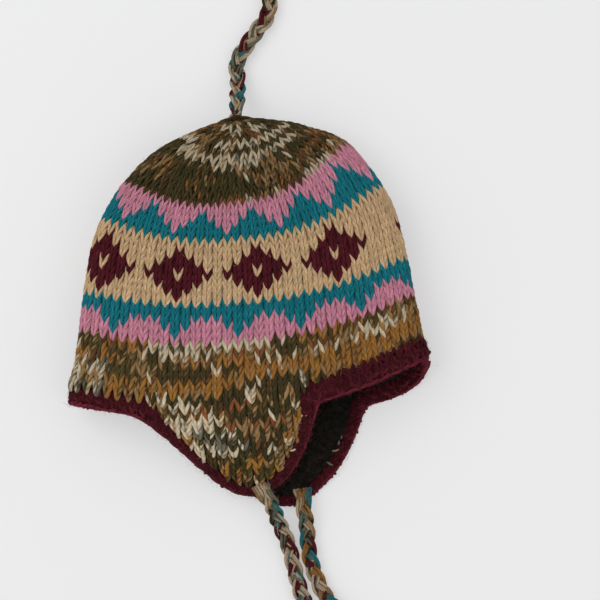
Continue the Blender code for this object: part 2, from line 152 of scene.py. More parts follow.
# Colours of the dyed yarns
YARNS = {
    "beige": linear(192, 161, 123),
    "teal": linear(24, 109, 120),
    "pink": linear(192, 127, 145),
    "maroon": linear(75, 24, 31),
    "mustard": linear(156, 107, 50),
    "brown": linear(94, 66, 40),
    "tan": linear(148, 116, 78),
    "olive": linear(60, 53, 31),
    "moss": linear(78, 69, 37),
    "cream": linear(204, 187, 158),
    "grey": linear(108, 104, 90),
    "rust": linear(128, 78, 48),
    "straw": linear(186, 166, 140),
    "sage": linear(104, 110, 96),
    "wine": linear(88, 32, 38),
    # the maroon edging yarn drawn lighter, a painted highlight for the chain along the edging's outer edge
    "claret_highlight": linear(108, 36, 50),
    "sea": linear(44, 112, 116),
}


def tinted(colour, spread):
    """A yarn colour with a small uneven dye."""
    return np.clip(np.array(colour) * (1 + spread * rng.normal()) * (1 + 0.3 * spread * rng.normal(size=3)),
                   0.0, 1.0)


# ---- Camera ----

def add_camera():
    """The camera straight above the hat, turned as the photograph is."""
    data = bpy.data.cameras.new("camera")
    data.sensor_width = 36.0
    data.lens = 127.8
    data.clip_start = 0.05
    camera = bpy.data.objects.new("camera", data)
    camera.location = (0.0399, 0.0067, 1.5)
    camera.rotation_euler = (0.0, 0.0, math.radians(-5.0))
    bpy.context.scene.collection.objects.link(camera)
    bpy.context.scene.camera = camera


add_camera()


# ---- The hat's shape ----

def read_table(table, columns, name, place):
    """One column of a table at a place between its rows, along a smooth curve."""
    at = np.array([row[0] for row in table])
    values = np.array([row[columns.index(name)] for row in table])
    slopes = np.gradient(values, at)
    i = int(np.clip(np.searchsorted(at, place) - 1, 0, len(at) - 2))
    span = at[i + 1] - at[i]
    u = (place - at[i]) / span
    return ((2 * u ** 3 - 3 * u ** 2 + 1) * values[i] + (u ** 3 - 2 * u ** 2 + u) * span * slopes[i]
            + (3 * u ** 2 - 2 * u ** 3) * values[i + 1] + (u ** 3 - u ** 2) * span * slopes[i + 1])


def signed_power(value, power):
    return math.copysign(abs(value) ** power, value)


def dent_depth(x, y):
    """How far the soft hollows press a point of the near side down."""
    depth = 0.0
    for row in DENTS:
        dent = dict(zip(DENT_COLUMNS, row))
        away = math.hypot(x - dent["across"] * RIM_HALF_WIDTH, y - RIM_Y - dent["along"] * CROWN_REACH)
        depth += dent["depth"] * BODY_HEIGHT * math.exp(-(away / (dent["size"] * RIM_HALF_WIDTH)) ** 2)
    return depth


@functools.lru_cache(maxsize=None)
def section(row):
    return {name: read_table(SECTIONS, SECTION_COLUMNS, name, row) for name in SECTION_COLUMNS}


def cap_point(row, angle):
    """Outer face of the cap. Angle 0 is the right fold, pi the left fold, and pi / 2 the near side."""
    share = section(row)
    across, up = math.cos(angle), math.sin(angle)
    near = up >= 0
    power = 2 / (NEAR_ROUNDNESS if near else FAR_ROUNDNESS)
    width = max(share["width"], 0.0) * RIM_HALF_WIDTH
    x = share["shift"] * TIP_SHIFT + width * signed_power(across, power)
    y = RIM_Y + share["reach"] * CROWN_REACH + share["lean"] * FOLD_LEAN * across
    if near:
        y -= share["near_dip"] * NEAR_RIM_DIP * up ** NEAR_DIP_POWER
        rise = max(share["height"] * BODY_HEIGHT - FOLD_HEIGHT, 0.0)
        lift = up ** power
        z = FOLD_HEIGHT + rise * lift - dent_depth(x, y) * lift
    else:
        y += share["far_dip"] * FAR_RIM_DIP * up * (1 + FAR_DIP_TILT * row * across)
        fall = FOLD_HEIGHT * (1 - share["low"]) * (1 + TABLE_PRESS)
        z = max(FOLD_HEIGHT - fall * abs(up) ** power, 0.0)
    return np.array((x, y, z))


def wrapped(angle):
    return (angle + math.pi) % (2 * math.pi) - math.pi


def lengths_along(path):
    """The length along a path to each of its points."""
    return np.concatenate(([0.0], np.cumsum(np.linalg.norm(np.diff(path, axis=0), axis=1))))


GIRTH_POINTS = 241           # on each side, to measure a section's way round


@functools.lru_cache(maxsize=None)
def girth(row):
    """A section's angles against the way round it: 0 to 1 the near side, 1 to 2 the far side."""
    angles, ways, lengths = [], [], []
    for side, start in enumerate((0.0, math.pi)):
        fine = np.linspace(start, start + math.pi, GIRTH_POINTS)
        points = np.array([cap_point(row, wrapped(a)) for a in fine])
        length = lengths_along(points)
        angles.append(fine)
        ways.append(side + length / max(length[-1], 1e-9))
        lengths.append(length[-1])
    return np.concatenate(ways), np.concatenate(angles), lengths


def cap_at(row, way):
    """Outer face of the cap at a share of the way round it."""
    ways, angles, _ = girth(row)
    return cap_point(row, wrapped(float(np.interp(way % 2, ways, angles))))


def cap_frame(row, way, step_row=0.012, step_way=0.012):
    """Point, direction towards the tip and outward normal of the cap."""
    low, high = max(row - step_row, 0.004), min(row + step_row, 1.0)
    ahead = cap_at(high, way) - cap_at(low, way)
    around = cap_at(row, way + step_way) - cap_at(row, way - step_way)
    normal = np.cross(around, ahead)
    return cap_at(row, way), -ahead / np.linalg.norm(ahead), normal / np.linalg.norm(normal)


def unit(vectors):
    return vectors / np.linalg.norm(vectors, axis=-1, keepdims=True)


def smoothed(values, passes):
    """A closed row of values, each drawn towards its neighbours a few times."""
    for _ in range(passes):
        values = (np.roll(values, 1, axis=0) + 2 * values + np.roll(values, -1, axis=0)) / 4
    return values


def rim_ring():
    """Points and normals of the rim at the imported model's columns, and the way out of its end wall."""
    ways = [c / SIDE_COLUMNS for c in range(2 * SIDE_COLUMNS)]
    points = np.array([cap_at(1.0, w) for w in ways])
    around = np.roll(points, -1, axis=0) - np.roll(points, 1, axis=0)
    ahead = points - np.array([cap_at(0.98, w) for w in ways])
    normals = unit(np.cross(around, ahead))
    out = unit(np.cross(normals, around))
    return points, normals, np.where((out[:, 1] > 0)[:, None], -out, out)


RIM, RIM_NORMALS, RIM_OUT = rim_ring()


class Flap:
    """The surface of one earflap: down from its root to its tip, across from side to side."""

    def __init__(self, table, columns, far, reach, tip_z, bow):
        if far:
            self.columns = [2 * SIDE_COLUMNS - c for c in range(columns[0], columns[1] + 1)]
        else:
            self.columns = list(range(columns[0], columns[1] + 1))
        self.root = RIM[self.columns] + RIM_OUT[self.columns] * GAP
        self.root_normals = RIM_NORMALS[self.columns]
        self.table, self.bow, self.far = table, bow, far
        self.middle_x = (self.root[0][0] + self.root[-1][0]) / 2
        self.half = abs(self.root[0][0] - self.root[-1][0]) / 2
        self.tip_y = self.root[len(self.root) // 2][1] - reach
        self.tip_z = tip_z
        self.tip = np.array((self.middle_x + self.read("shift", 1.0) * self.half, self.tip_y, tip_z))

    def read(self, name, down):
        return read_table(self.table, FLAP_COLUMNS, name, down)

    def at(self, down, across):
        """A point of the outer face, across from -1 at the right to 1 at the left."""
        place = (across + 1) / 2 * (len(self.root) - 1)
        root = np.array([np.interp(place, range(len(self.root)), self.root[:, k]) for k in range(3)])
        side = self.read("side", down) * math.sqrt(max(1 - down ** FLAP_NOSE_POWER, 0.0))
        lift = self.bow * math.sin(math.pi * down) * (1 - across ** 2)
        return np.array((
            self.middle_x + self.read("shift", down) * self.half + (root[0] - self.middle_x) * side,
            root[1] + (self.tip_y - root[1]) * down,
            max(root[2] + (self.tip_z - root[2]) * self.read("fall", down) + lift, 0.0)))

    def frame(self, down, across, step=0.03):
        """Point, direction towards the root and outward normal."""
        low, high = max(down - step, 0.0), min(down + step, 0.995)
        ahead = self.at(high, across) - self.at(low, across)
        level = min(down, 0.97)
        around = self.at(level, min(across + step, 1.0)) - self.at(level, max(across - step, -1.0))
        normal = unit(np.cross(around, ahead))
        if (normal[2] < 0) != self.far:
            normal = -normal
        return self.at(down, across), -unit(ahead), normal


near_flap = Flap(NEAR_FLAP, NEAR_FLAP_COLUMNS, False, NEAR_FLAP_REACH, NEAR_TIP_HEIGHT, NEAR_FLAP_BOW)
far_flap = Flap(FAR_FLAP, FAR_FLAP_COLUMNS, True, FAR_FLAP_REACH, 0.0, 0.0)


# ---- Mesh helpers ----

def link(thing):
    bpy.context.scene.collection.objects.link(thing)
    return thing


def with_alpha(colours):
    """Rows of red, green and blue as one flat row with an alpha of 1."""
    four = np.ones((len(colours), 4), np.float32)
    four[:, :3] = colours
    return four.ravel()


def make_mesh(name, vertices, faces, material=None, colours=None, uvs=None, domain="POINT"):
    """A mesh object, shaded smooth, with its yarn colours and its UV map."""
    mesh = bpy.data.meshes.new(name)
    mesh.from_pydata(np.asarray(vertices).tolist(), [], [list(map(int, f)) for f in faces])
    if uvs is not None:
        layer = mesh.uv_layers.new(name="yarn_map")
        corner = np.zeros(len(mesh.loops), np.int32)
        mesh.loops.foreach_get("vertex_index", corner)
        layer.data.foreach_set("uv", np.asarray(uvs, np.float32)[corner].ravel())
    if colours is not None:
        kinds = mesh.color_attributes if domain == "POINT" else mesh.attributes
        kinds.new("yarn", "FLOAT_COLOR", domain).data.foreach_set("color", with_alpha(colours))
        if domain == "POINT":
            mesh.attributes.new("second_ply", "FLOAT_COLOR", domain).data.foreach_set(
                "color", with_alpha(colours))
    if material:
        mesh.materials.append(material)
    mesh.shade_smooth()
    return bpy.data.objects.new(name, mesh)


ROUND_END = 0.6              # how far a tube's end stands out, in radii


def tube(path, radii, sides, flat=1.0, up=(0.0, 0.0, 1.0)):
    """Vertices, faces and UV places of a closed tube along a path, with rounded ends."""
    path, radii = np.asarray(path, float), np.asarray(radii, float)
    tangents = unit(np.gradient(path, axis=0))
    side = unit(np.cross(tangents, np.asarray(up, float)))
    lift = np.cross(side, tangents)
    angle = 2 * np.pi * np.arange(sides) / sides
    ring = (side[:, None] * np.cos(angle)[None, :, None]
            + lift[:, None] * np.sin(angle)[None, :, None] * flat)
    body = path[:, None] + ring * radii[:, None, None]
    ends = [path[0] - tangents[0] * radii[0] * ROUND_END, path[-1] + tangents[-1] * radii[-1] * ROUND_END]
    vertices = np.concatenate((body.reshape(-1, 3), ends))
    rows, faces = len(path), []
    for r in range(rows - 1):
        for s in range(sides):
            t = (s + 1) % sides
            a, b = r * sides + s, r * sides + t
            faces.append((a, a + sides, b + sides, b))
    first, last = rows * sides, rows * sides + 1
    for s in range(sides):
        t = (s + 1) % sides
        faces.append((first, s, t))
        faces.append((last, (rows - 1) * sides + t, (rows - 1) * sides + s))
    along = lengths_along(path)
    uvs = [(1.0 - abs(2.0 * s / sides - 1.0), a) for a in along for s in range(sides)]
    uvs += [(0.5, along[0]), (0.5, along[-1])]
    return vertices, faces, uvs


class Bundle:
    """Gathers tubes of yarn, each in its own colour, into one mesh."""

    def __init__(self):
        self.vertices, self.faces, self.uvs, self.colours = [], [], [], []

    def add(self, tube_parts, colours):
        vertices, faces, uvs = tube_parts
        first = len(self.vertices)
        self.vertices.extend(vertices.tolist())
        self.faces.extend([tuple(i + first for i in f) for f in faces])
        self.uvs.extend(uvs)
        colours = np.asarray(colours, float)
        if colours.ndim == 1:
            colours = np.repeat(colours[None], len(vertices), axis=0)
        self.colours.extend(colours.tolist())

    def piece(self, name, material):
        vertices = np.array(self.vertices)
        vertices[:, 2] = np.maximum(vertices[:, 2], YARN_FLOOR)
        return link(make_mesh(name, vertices, self.faces, material, self.colours, self.uvs))


# ---- Materials ----

def fill(tree, node, *given, **named):
    """Sets or links a node's inputs, given by place or by name."""
    for key, value in list(enumerate(given)) + [(k.replace("_", " "), v) for k, v in named.items()]:
        if isinstance(value, bpy.types.NodeSocket):
            tree.links.new(value, node.inputs[key])
        else:
            node.inputs[key].default_value = value
    return node


def add_node(tree, kind, *given, options=None, **named):
    """A new node with its options and its inputs."""
    node = tree.nodes.new(kind)
    for option, value in (options or {}).items():
        setattr(node, option, value)
    return fill(tree, node, *given, **named)


class Finish:
    """A dull material, and short ways to add to its nodes."""

    def __init__(self, name, roughness=1.0, specular=0.08):
        self.material = bpy.data.materials.new(name)
        self.material.use_nodes = True
        self.tree = self.material.node_tree
        self.place = add_node(self.tree, "ShaderNodeTexCoord").outputs["Object"]
        self.shade(Roughness=roughness, Specular_IOR_Level=specular)

    def shade(self, **inputs):
        """Sets or links inputs of the shader, and returns the material."""
        fill(self.tree, self.tree.nodes["Principled BSDF"], **inputs)
        return self.material

    def attribute(self, name):
        return add_node(self.tree, "ShaderNodeAttribute", options={"attribute_name": name}).outputs["Color"]

    def noise(self, scale, detail=3.0, roughness=0.6, at=None):
        return add_node(self.tree, "ShaderNodeTexNoise", Vector=self.place if at is None else at,
                        Scale=scale, Detail=detail, Roughness=roughness).outputs["Fac"]

    def math(self, operation, *values):
        return add_node(self.tree, "ShaderNodeMath", *values, options={"operation": operation}).outputs[0]

    def plus(self, first, second):
        return self.math("ADD", first, second)

    def times(self, first, second):
        return self.math("MULTIPLY", first, second)

    def ramp(self, value, low, high, out_low=0.0, out_high=1.0):
        return add_node(self.tree, "ShaderNodeMapRange", Value=value, From_Min=low, From_Max=high,
                        To_Min=out_low, To_Max=out_high).outputs["Result"]

    def scaled(self, colour, factor):
        return add_node(self.tree, "ShaderNodeVectorMath", colour, options={"operation": "SCALE"},
                        Scale=factor).outputs[0]

    def mix(self, factor, first, second):
        return add_node(self.tree, "ShaderNodeMix", options={"data_type": "RGBA"}, Factor=factor,
                        A=first, B=second).outputs["Result"]

    def relief(self, height, strength, distance):
        return add_node(self.tree, "ShaderNodeBump", Height=height, Strength=strength,
                        Distance=distance).outputs["Normal"]


STREAKS_ACROSS = 13.0        # streaks of fibre round half a yarn
STREAKS_ALONG = 600.0        # the same in a metre of yarn
STREAK_SHIFT = (140.0, 140.0, 140.0)


def yarn_finish(name, twist_pitch, bump, dark=0.62, light=1.34, ply_shade=0.10):
    """Dyed wool yarn: plies that wind round it, with painted shade in the grooves between them, streaks of
    fibre along it and uneven dye.
    """
    look = Finish(name)
    chart = add_node(look.tree, "ShaderNodeUVMap", options={"uv_map": "yarn_map"}).outputs["UV"]
    parts = add_node(look.tree, "ShaderNodeSeparateXYZ", chart).outputs
    around, along = parts["X"], parts["Y"]
    ply = look.math("SINE", look.plus(look.times(along, 2 * math.pi / twist_pitch),
                                      look.times(around, 2 * math.pi)))
    # the streaks lean with the ply, and the hat's own coordinates keep two yarns from being alike
    lean = look.plus(look.times(around, STREAKS_ACROSS),
                     look.times(along, STREAKS_ACROSS / twist_pitch * 0.5))
    streak = add_node(look.tree, "ShaderNodeCombineXYZ", X=lean, Y=look.times(along, STREAKS_ALONG))
    shifted = add_node(look.tree, "ShaderNodeVectorMath", look.place, STREAK_SHIFT, streak.outputs[0],
                       options={"operation": "MULTIPLY_ADD"})
    streaks = look.noise(1.0, 3.0, 0.65, at=shifted.outputs[0])
    fibres = look.plus(look.times(streaks, 0.6), look.times(look.noise(1900.0, 4.0, 0.75), 0.4))
    # painted shade and light: the yarn is drawn darker in the grooves between its twisted plies and lighter
    # on their crests
    shade = look.times(look.ramp(fibres, 0.32, 0.68, dark, light),
                       look.ramp(ply, -1.0, 1.0, 1.0 - ply_shade, 1.0 + ply_shade))
    shade = look.times(shade, look.ramp(look.noise(190.0, 2.0), 0.3, 0.7, 0.88, 1.12))
    marl = look.mix(look.ramp(look.plus(ply, look.times(streaks, 2.0)), 0.6, 1.6),
                    look.attribute("yarn"), look.attribute("second_ply"))
    height = look.plus(look.times(ply, 0.3), fibres)
    return look.shade(Base_Color=look.scaled(marl, shade), Normal=look.relief(height, bump, 0.0012))


def ground_finish():
    """The back of the knit between its stitches, drawn darker than its yarn as painted shade."""
    look = Finish("shaded_knit_ground")
    fibres = look.noise(1500.0, 3.0, 0.7)
    # painted shade: the ground is drawn at 0.42 to 0.8 of its yarn's colour, for the shade that falls
    # between the stitches
    colour = look.scaled(look.attribute("yarn"), look.ramp(fibres, 0.3, 0.7, 0.42, 0.8))
    return look.shade(Base_Color=colour, Normal=look.relief(fibres, 0.5, 0.0005))


def fleece_finish():
    """Near-black lining fleece with a short matted pile."""
    look = Finish("black_pile", specular=0.03)
    pile, tufts = look.noise(900.0, 4.0, 0.7), look.noise(260.0, 2.0)
    colour = look.mix(look.ramp(look.times(pile, tufts), 0.12, 0.42),
                      (*linear(19, 17, 15), 1.0), (*linear(48, 43, 38), 1.0))
    return look.shade(Base_Color=colour, Normal=look.relief(look.plus(pile, tufts), 0.9, 0.0024))


def fuzz_finish():
    """Loose fibres that stand out of the yarn."""
    look = Finish("wool_fuzz")
    shade = look.ramp(look.noise(700.0), 0.3, 0.7, 0.85, 1.25)
    return look.shade(Base_Color=look.scaled(look.attribute("yarn"), shade))


def table_finish():
    """A pale board, lit a little from within so that the shadows on it stay soft."""
    look = Finish("pale_table", roughness=0.8, specular=0.2)
    colour = look.mix(look.noise(2.5, 1.0), (0.400, 0.400, 0.406, 1.0), (0.415, 0.413, 0.414, 1.0))
    return look.shade(Base_Color=colour, Emission_Color=(1.0, 0.995, 0.995, 1.0), Emission_Strength=0.42)


KNIT_YARN = yarn_finish("knit_yarn", 0.0056, 0.7)
EDGING_YARN = yarn_finish("maroon_yarn", 0.006, 1.0, dark=0.45, light=1.5, ply_shade=0.05)
BRAID_YARN = yarn_finish("braided_yarn", 0.0045, 0.9, dark=0.44, light=1.29)
SHADED_GROUND = ground_finish()
FLEECE = fleece_finish()
FUZZ = fuzz_finish()


def hand_over(piece, slot, *nodes):
    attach(piece, "root")
    if nodes:
        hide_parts(*nodes)


# ---- Braids and tassels ----

def smooth_route(route, steps):
    """Points on a smooth curve through a braid's route points."""
    points = [np.array(p) for p in route]
    ends = [2 * points[0] - points[1]] + points + [2 * points[-1] - points[-2]]
    curve = []
    for i in range(1, len(ends) - 2):
        a, b, c, d = ends[i - 1:i + 3]
        for step in range(steps):
            u = step / steps
            curve.append(0.5 * (2 * b + (c - a) * u + (2 * a - 5 * b + 4 * c - d) * u ** 2
                                + (3 * b - a - 3 * c + d) * u ** 3))
    return np.array(curve + [points[-1]])


def resampled(points, spacing):
    """A path with its points evenly apart, and the length to each."""
    length = lengths_along(points)
    count = max(int(round(length[-1] / spacing)), 2)
    wanted = np.linspace(0.0, length[-1], count + 1)
    return np.stack([np.interp(wanted, length, points[:, k]) for k in range(3)], axis=1), wanted


BRAID_PITCH = 0.0340         # one full crossing of the three strands
STRAND_SWING = 0.0036
STRAND_RISE = 0.0015
STRAND_ROLL = 0.85           # how far a strand rolls over at the braid's edges, in radians
YARN_RADIUS = 0.00098
YARN_SPACING = 0.00135
ROOT_LENGTH = 0.014          # where the strands still spread out of the knit
ROUTE_STEPS = 8              # points of the smooth curve between two points of a route
PATH_SPACING = 0.0008
YARN_SIDES = 8
STRAND_YARNS = 4

# Where the strands come up out of the knit, over the edging, to the first point kept of the route
TOP_ROOT = ((0.0056, 0.1340, 0.0255),)
NEAR_ROOT = ((0.0020, -0.1178, 0.0213), (0.0040, -0.1235, 0.0243), (0.0062, -0.1290, 0.0240),
             (0.0085, -0.1350, 0.0195))
FAR_ROOT = ((0.0293, -0.1250, 0.0060), (0.0295, -0.1315, 0.0088), (0.0298, -0.1385, 0.0094),
            (0.0304, -0.1460, 0.0078))
ROOT_FANS = {"top": (-0.0022, 0.0006, 0.0024), "near": (-0.0008, 0.0050, -0.0036),
             "far": (0.0036, 0.0000, -0.0050)}

# Each braid's three strands: the four yarns of each, one run of dyes after another
STRAND_RUN = 0.0190
BRAID_YARNS = {
    "top": (
        ("straw straw sage straw, wine tan straw wine, sage olive straw straw, straw straw tan sage, "
         "wine wine wine tan, straw tan straw olive"),
        ("wine sea wine olive, sea sea sage sea, straw sage straw straw, sea grey sage straw, "
         "straw straw straw tan, wine wine olive straw"),
        ("straw tan straw sage, straw straw tan straw, olive sage wine sage, wine wine tan wine, "
         "straw sage straw straw, olive straw tan straw"),
    ),
    "near": (
        ("tan straw tan straw, straw sea sage straw, olive sage wine grey, straw straw tan straw, "
         "wine wine wine straw, sea sage straw straw"),
        ("straw tan straw tan, sea sea sea sage, wine wine straw wine, wine straw wine wine, "
         "straw straw sage straw, wine straw sea straw"),
        ("sage tan grey straw, grey sage grey olive, straw straw tan straw, sea sage straw straw, "
         "wine straw tan sage, straw tan straw sea"),
    ),
    "far": (
        ("tan straw tan straw, tan straw tan straw, olive mustard tan mustard, "
         "mustard rust tan mustard, wine olive wine tan, tan mustard straw tan"),
        ("mustard olive tan mustard, olive tan sea tan, sea sea sage sea, straw sage wine straw, "
         "sea sea sage straw, olive tan mustard tan"),
        ("sea sage sea sage, sage olive grey sage, wine wine olive wine, straw tan straw straw, "
         "tan straw tan mustard, wine olive wine tan"),
    ),
}


def spun_colours(names, along):
    """Colours along a yarn whose dye changes run by run, not quite where its neighbours' do."""
    shift = 0.003 * rng.normal()
    runs = np.clip((along + shift) / STRAND_RUN, 0, len(names) - 0.001).astype(int)
    return np.array([tinted(YARNS[names[run]], 0.0) for run in runs])


braid_fibres = []            # where loose fibres stand out of the braids, and their colours


def add_braid(name, route, yarns, phase, fan):
    """Three strands of four yarns side by side, braided along the route from where they fan out."""
    points, along = resampled(smooth_route(route, ROUTE_STEPS), PATH_SPACING)
    tangents = unit(np.gradient(points, axis=0))
    side = unit(np.cross(tangents, (0.0, 0.0, 1.0)))
    lift = np.cross(side, tangents)
    start = np.clip(along / ROOT_LENGTH, 0.0, 1.0)
    braided = start ** 2 * (3 - 2 * start)
    bundle = Bundle()
    for strand, dyes in enumerate(yarns):
        runs = [run.split() for run in dyes.split(",")]
        turn = 2 * np.pi * (along / BRAID_PITCH + strand / 3) + phase
        swing = (1 - braided) * fan[strand] + braided * STRAND_SWING * np.sin(turn)
        middle = (points + side * swing[:, None]
                  + lift * (braided * STRAND_RISE * np.sin(2 * turn) - 0.0004)[:, None])
        strand_way = unit(np.gradient(middle, axis=0))
        flat = unit(np.cross(strand_way, lift))
        over = np.cross(flat, strand_way)
        roll = STRAND_ROLL * np.sin(turn) * braided
        cross = flat * np.cos(roll)[:, None] + over * np.sin(roll)[:, None]
        for ply in range(STRAND_YARNS):
            offset = (ply - 1.5) * YARN_SPACING * (0.8 + 0.2 * braided)
            bulge = 0.0005 * np.cos((ply - 1.5) * 1.2)
            path = middle + cross * offset[:, None] + np.cross(cross, strand_way) * -bulge
            wobble = 1 + 0.06 * np.sin(along * 800 + 2 * ply + strand)
            colours = spun_colours([run[ply] for run in runs], along)
            per_vertex = np.concatenate((np.repeat(colours, YARN_SIDES, axis=0),
                                         colours[:1], colours[-1:]))
            bundle.add(tube(path, YARN_RADIUS * wobble, YARN_SIDES), per_vertex)
            for spot in range(2 + ply, len(path) - 2, 4):
                braid_fibres.append((path[spot] + lift[spot] * YARN_RADIUS * 0.7, strand_way[spot],
                                     lift[spot], colours[spot]))
    return bundle.piece(name, BRAID_YARN), points, float(along[-1])


KNOT_WRAPS = 5
WRAP_POINTS = 30
WRAP_PITCH = 0.0021
WRAP_RADIUS = 0.00165
CORE_YARNS = 6               # they lead from the braid into the knot
CORE_RADIUS = 0.0016
LOOSE_SIDES = 6              # of a loose yarn
LOCKS = 34                   # loose ends beyond the knot
LOCK_RADIUS = 0.00085
LOCK_POINTS = 12
GOLDEN_ANGLE = 2.399963
TASSEL_ROOT_HEIGHT = 0.0050


def add_tassel(name, route, names):
    """A knot of the braid's own yarns and the loose ends beyond it."""
    end = np.array(route[-1])
    way = end - np.array(route[-2])
    way[2] = 0.0
    way = unit(way)
    side = np.array((-way[1], way[0], 0.0))
    up = np.array((0.0, 0.0, 1.0))
    bundle = Bundle()
    knot_middle = end + way * (GAP + KNOT_LENGTH * 0.5)
    knot_middle[2] = KNOT_DIAMETER * 0.46
    for wrap in range(KNOT_WRAPS):
        tilt = 0.45 * math.sin(1.7 * wrap + 0.4)
        shift = (wrap - 2) * WRAP_PITCH
        radius = KNOT_DIAMETER / 2 - 0.0016 - 0.0004 * abs(wrap - 2)
        turn = np.linspace(0, 2 * np.pi * 1.04, WRAP_POINTS) + wrap
        path = (knot_middle + way * shift + np.outer(np.cos(turn), side) * radius
                + np.outer(np.sin(turn), up) * radius * 0.9
                + np.outer(np.sin(turn + wrap), way) * tilt * 0.003)
        bundle.add(tube(path, np.full(len(path), WRAP_RADIUS), YARN_SIDES, up=way),
                   YARNS[names[wrap % len(names)]])
    for ply in range(CORE_YARNS):
        angle = 2 * np.pi * ply / CORE_YARNS
        start = end - way * 0.002 + side * 0.0026 * math.cos(angle) + up * 0.0018 * math.sin(angle)
        stop = knot_middle + way * KNOT_LENGTH * 0.5
        path = np.array([start + (stop - start) * t + side * 0.0006 * math.sin(5 * t + ply)
                         for t in np.linspace(0, 1, 8)])
        bundle.add(tube(path, np.full(len(path), CORE_RADIUS), LOOSE_SIDES),
                   YARNS[names[ply % len(names)]])
    root = end + way * (GAP + KNOT_LENGTH * 0.8)
    for lock in range(LOCKS):
        angle = GOLDEN_ANGLE * lock
        spread = math.sqrt((lock + 0.5) / LOCKS)
        length = TASSEL_LENGTH * (0.86 + 0.2 * rng.random())
        wave = rng.random(3) * 6.28
        path = []
        for t in np.linspace(0, 1, LOCK_POINTS):
            wide = (0.0022 + (TASSEL_DIAMETER / 2 - 0.003) * t ** 0.7) * spread
            sway = 0.0007 * math.sin(7 * t + wave[0]) * t
            height = TASSEL_ROOT_HEIGHT + (TASSEL_TIP_HEIGHT - TASSEL_ROOT_HEIGHT) * t
            path.append(root + way * length * t + side * (wide * math.cos(angle) + sway)
                        + up * (height - root[2] + wide * 0.5 * math.sin(angle)
                                + 0.0004 * math.sin(9 * t + wave[1]) * t))
        radii = LOCK_RADIUS * (1 - 0.45 * np.linspace(0, 1, LOCK_POINTS) ** 3)
        bundle.add(tube(path, radii, LOOSE_SIDES), YARNS[names[lock % len(names)]])
    return bundle.piece(name, BRAID_YARN)


TASSEL_YARNS = ("straw", "sea", "tan", "wine", "olive", "straw", "sage", "brown")

# Each braid: its root, its route and the first point kept of it, and how far its strands are turned
for stem, root, route, kept, phase in (("top", TOP_ROOT, TOP_ROUTE, 0, 0.6),
                                       ("near", NEAR_ROOT, NEAR_ROUTE, 2, 3.91),
                                       ("far", FAR_ROOT, FAR_ROUTE, 2, -1.45)):
    way = root + route[kept:]
    piece, points, length = add_braid(f"{stem}_braid_strands", way, BRAID_YARNS[stem], phase,
                                      ROOT_FANS[stem])
    tassel = add_tassel(f"{stem}_tassel_locks", route, TASSEL_YARNS)
    hand_over(piece, "braid_wool", f"{stem}_braid")
    hand_over(tassel, "braid_wool", f"{stem}_tassel")
    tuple(way[0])


# ---- Yarn laid on points by Geometry Nodes ----

# A knit stitch's left leg, point by point: across as a share of the stitch's width, along as a
# share of the row's height, and lift and radius in metres
LEG = (
    (-0.045, -0.80, 0.00030, 0.00080),
    (-0.095, -0.42, 0.00100, 0.00118),
    (-0.180, 0.08, 0.00120, 0.00138),
    (-0.270, 0.48, 0.00090, 0.00140),
    (-0.350, 0.86, 0.00040, 0.00130),
    (-0.410, 1.18, -0.00020, 0.00108),
    (-0.430, 1.42, -0.00070, 0.00072),
)
STITCH_WIDTH = 0.0070
ROW_HEIGHT = 0.0052
LEG_SIDES = 6
LEG_BEND = 0.00022
BENDS = 3                    # bends of a leg, each for the left and for the right leg
HAIRS_MADE = 6
FOOT_SHARE = 0.05            # how far up its row a stitch's foot lies, in rows


def leg_shapes():
    """Left and right legs in a few bends, in a collection outside the scene."""
    shapes = bpy.data.collections.new("legs")
    for index in range(2 * BENDS):
        mirror = -1.0 if index % 2 else 1.0
        bend = (index // 2 - 1) * LEG_BEND
        path = [(mirror * u * STITCH_WIDTH + bend * math.sin(3.0 * v), v * ROW_HEIGHT, h)
                for u, v, h, _ in LEG]
        vertices, faces, uvs = tube(path, [r for *_, r in LEG], LEG_SIDES, flat=0.86)
        shapes.objects.link(make_mesh(f"leg_{index}", vertices, faces, uvs=uvs))
    return shapes


def hair_shapes():
    """Single loose fibres, curved, in a collection outside the scene."""
    shapes = bpy.data.collections.new("hairs")
    for index in range(HAIRS_MADE):
        lean = 0.5 + 0.25 * index
        path = [(0.0, 0.0, 0.0), (0.0004 * math.sin(index), 0.0009 * lean, 0.0007),
                (0.0011 * math.sin(2 * index), 0.0022 * lean, 0.0011)]
        vertices, faces, uvs = tube(path, (0.00008, 0.00007, 0.00003), 3, up=(1.0, 0.0, 0.0))
        shapes.objects.link(make_mesh(f"hair_{index}", vertices, faces, uvs=uvs))
    return shapes


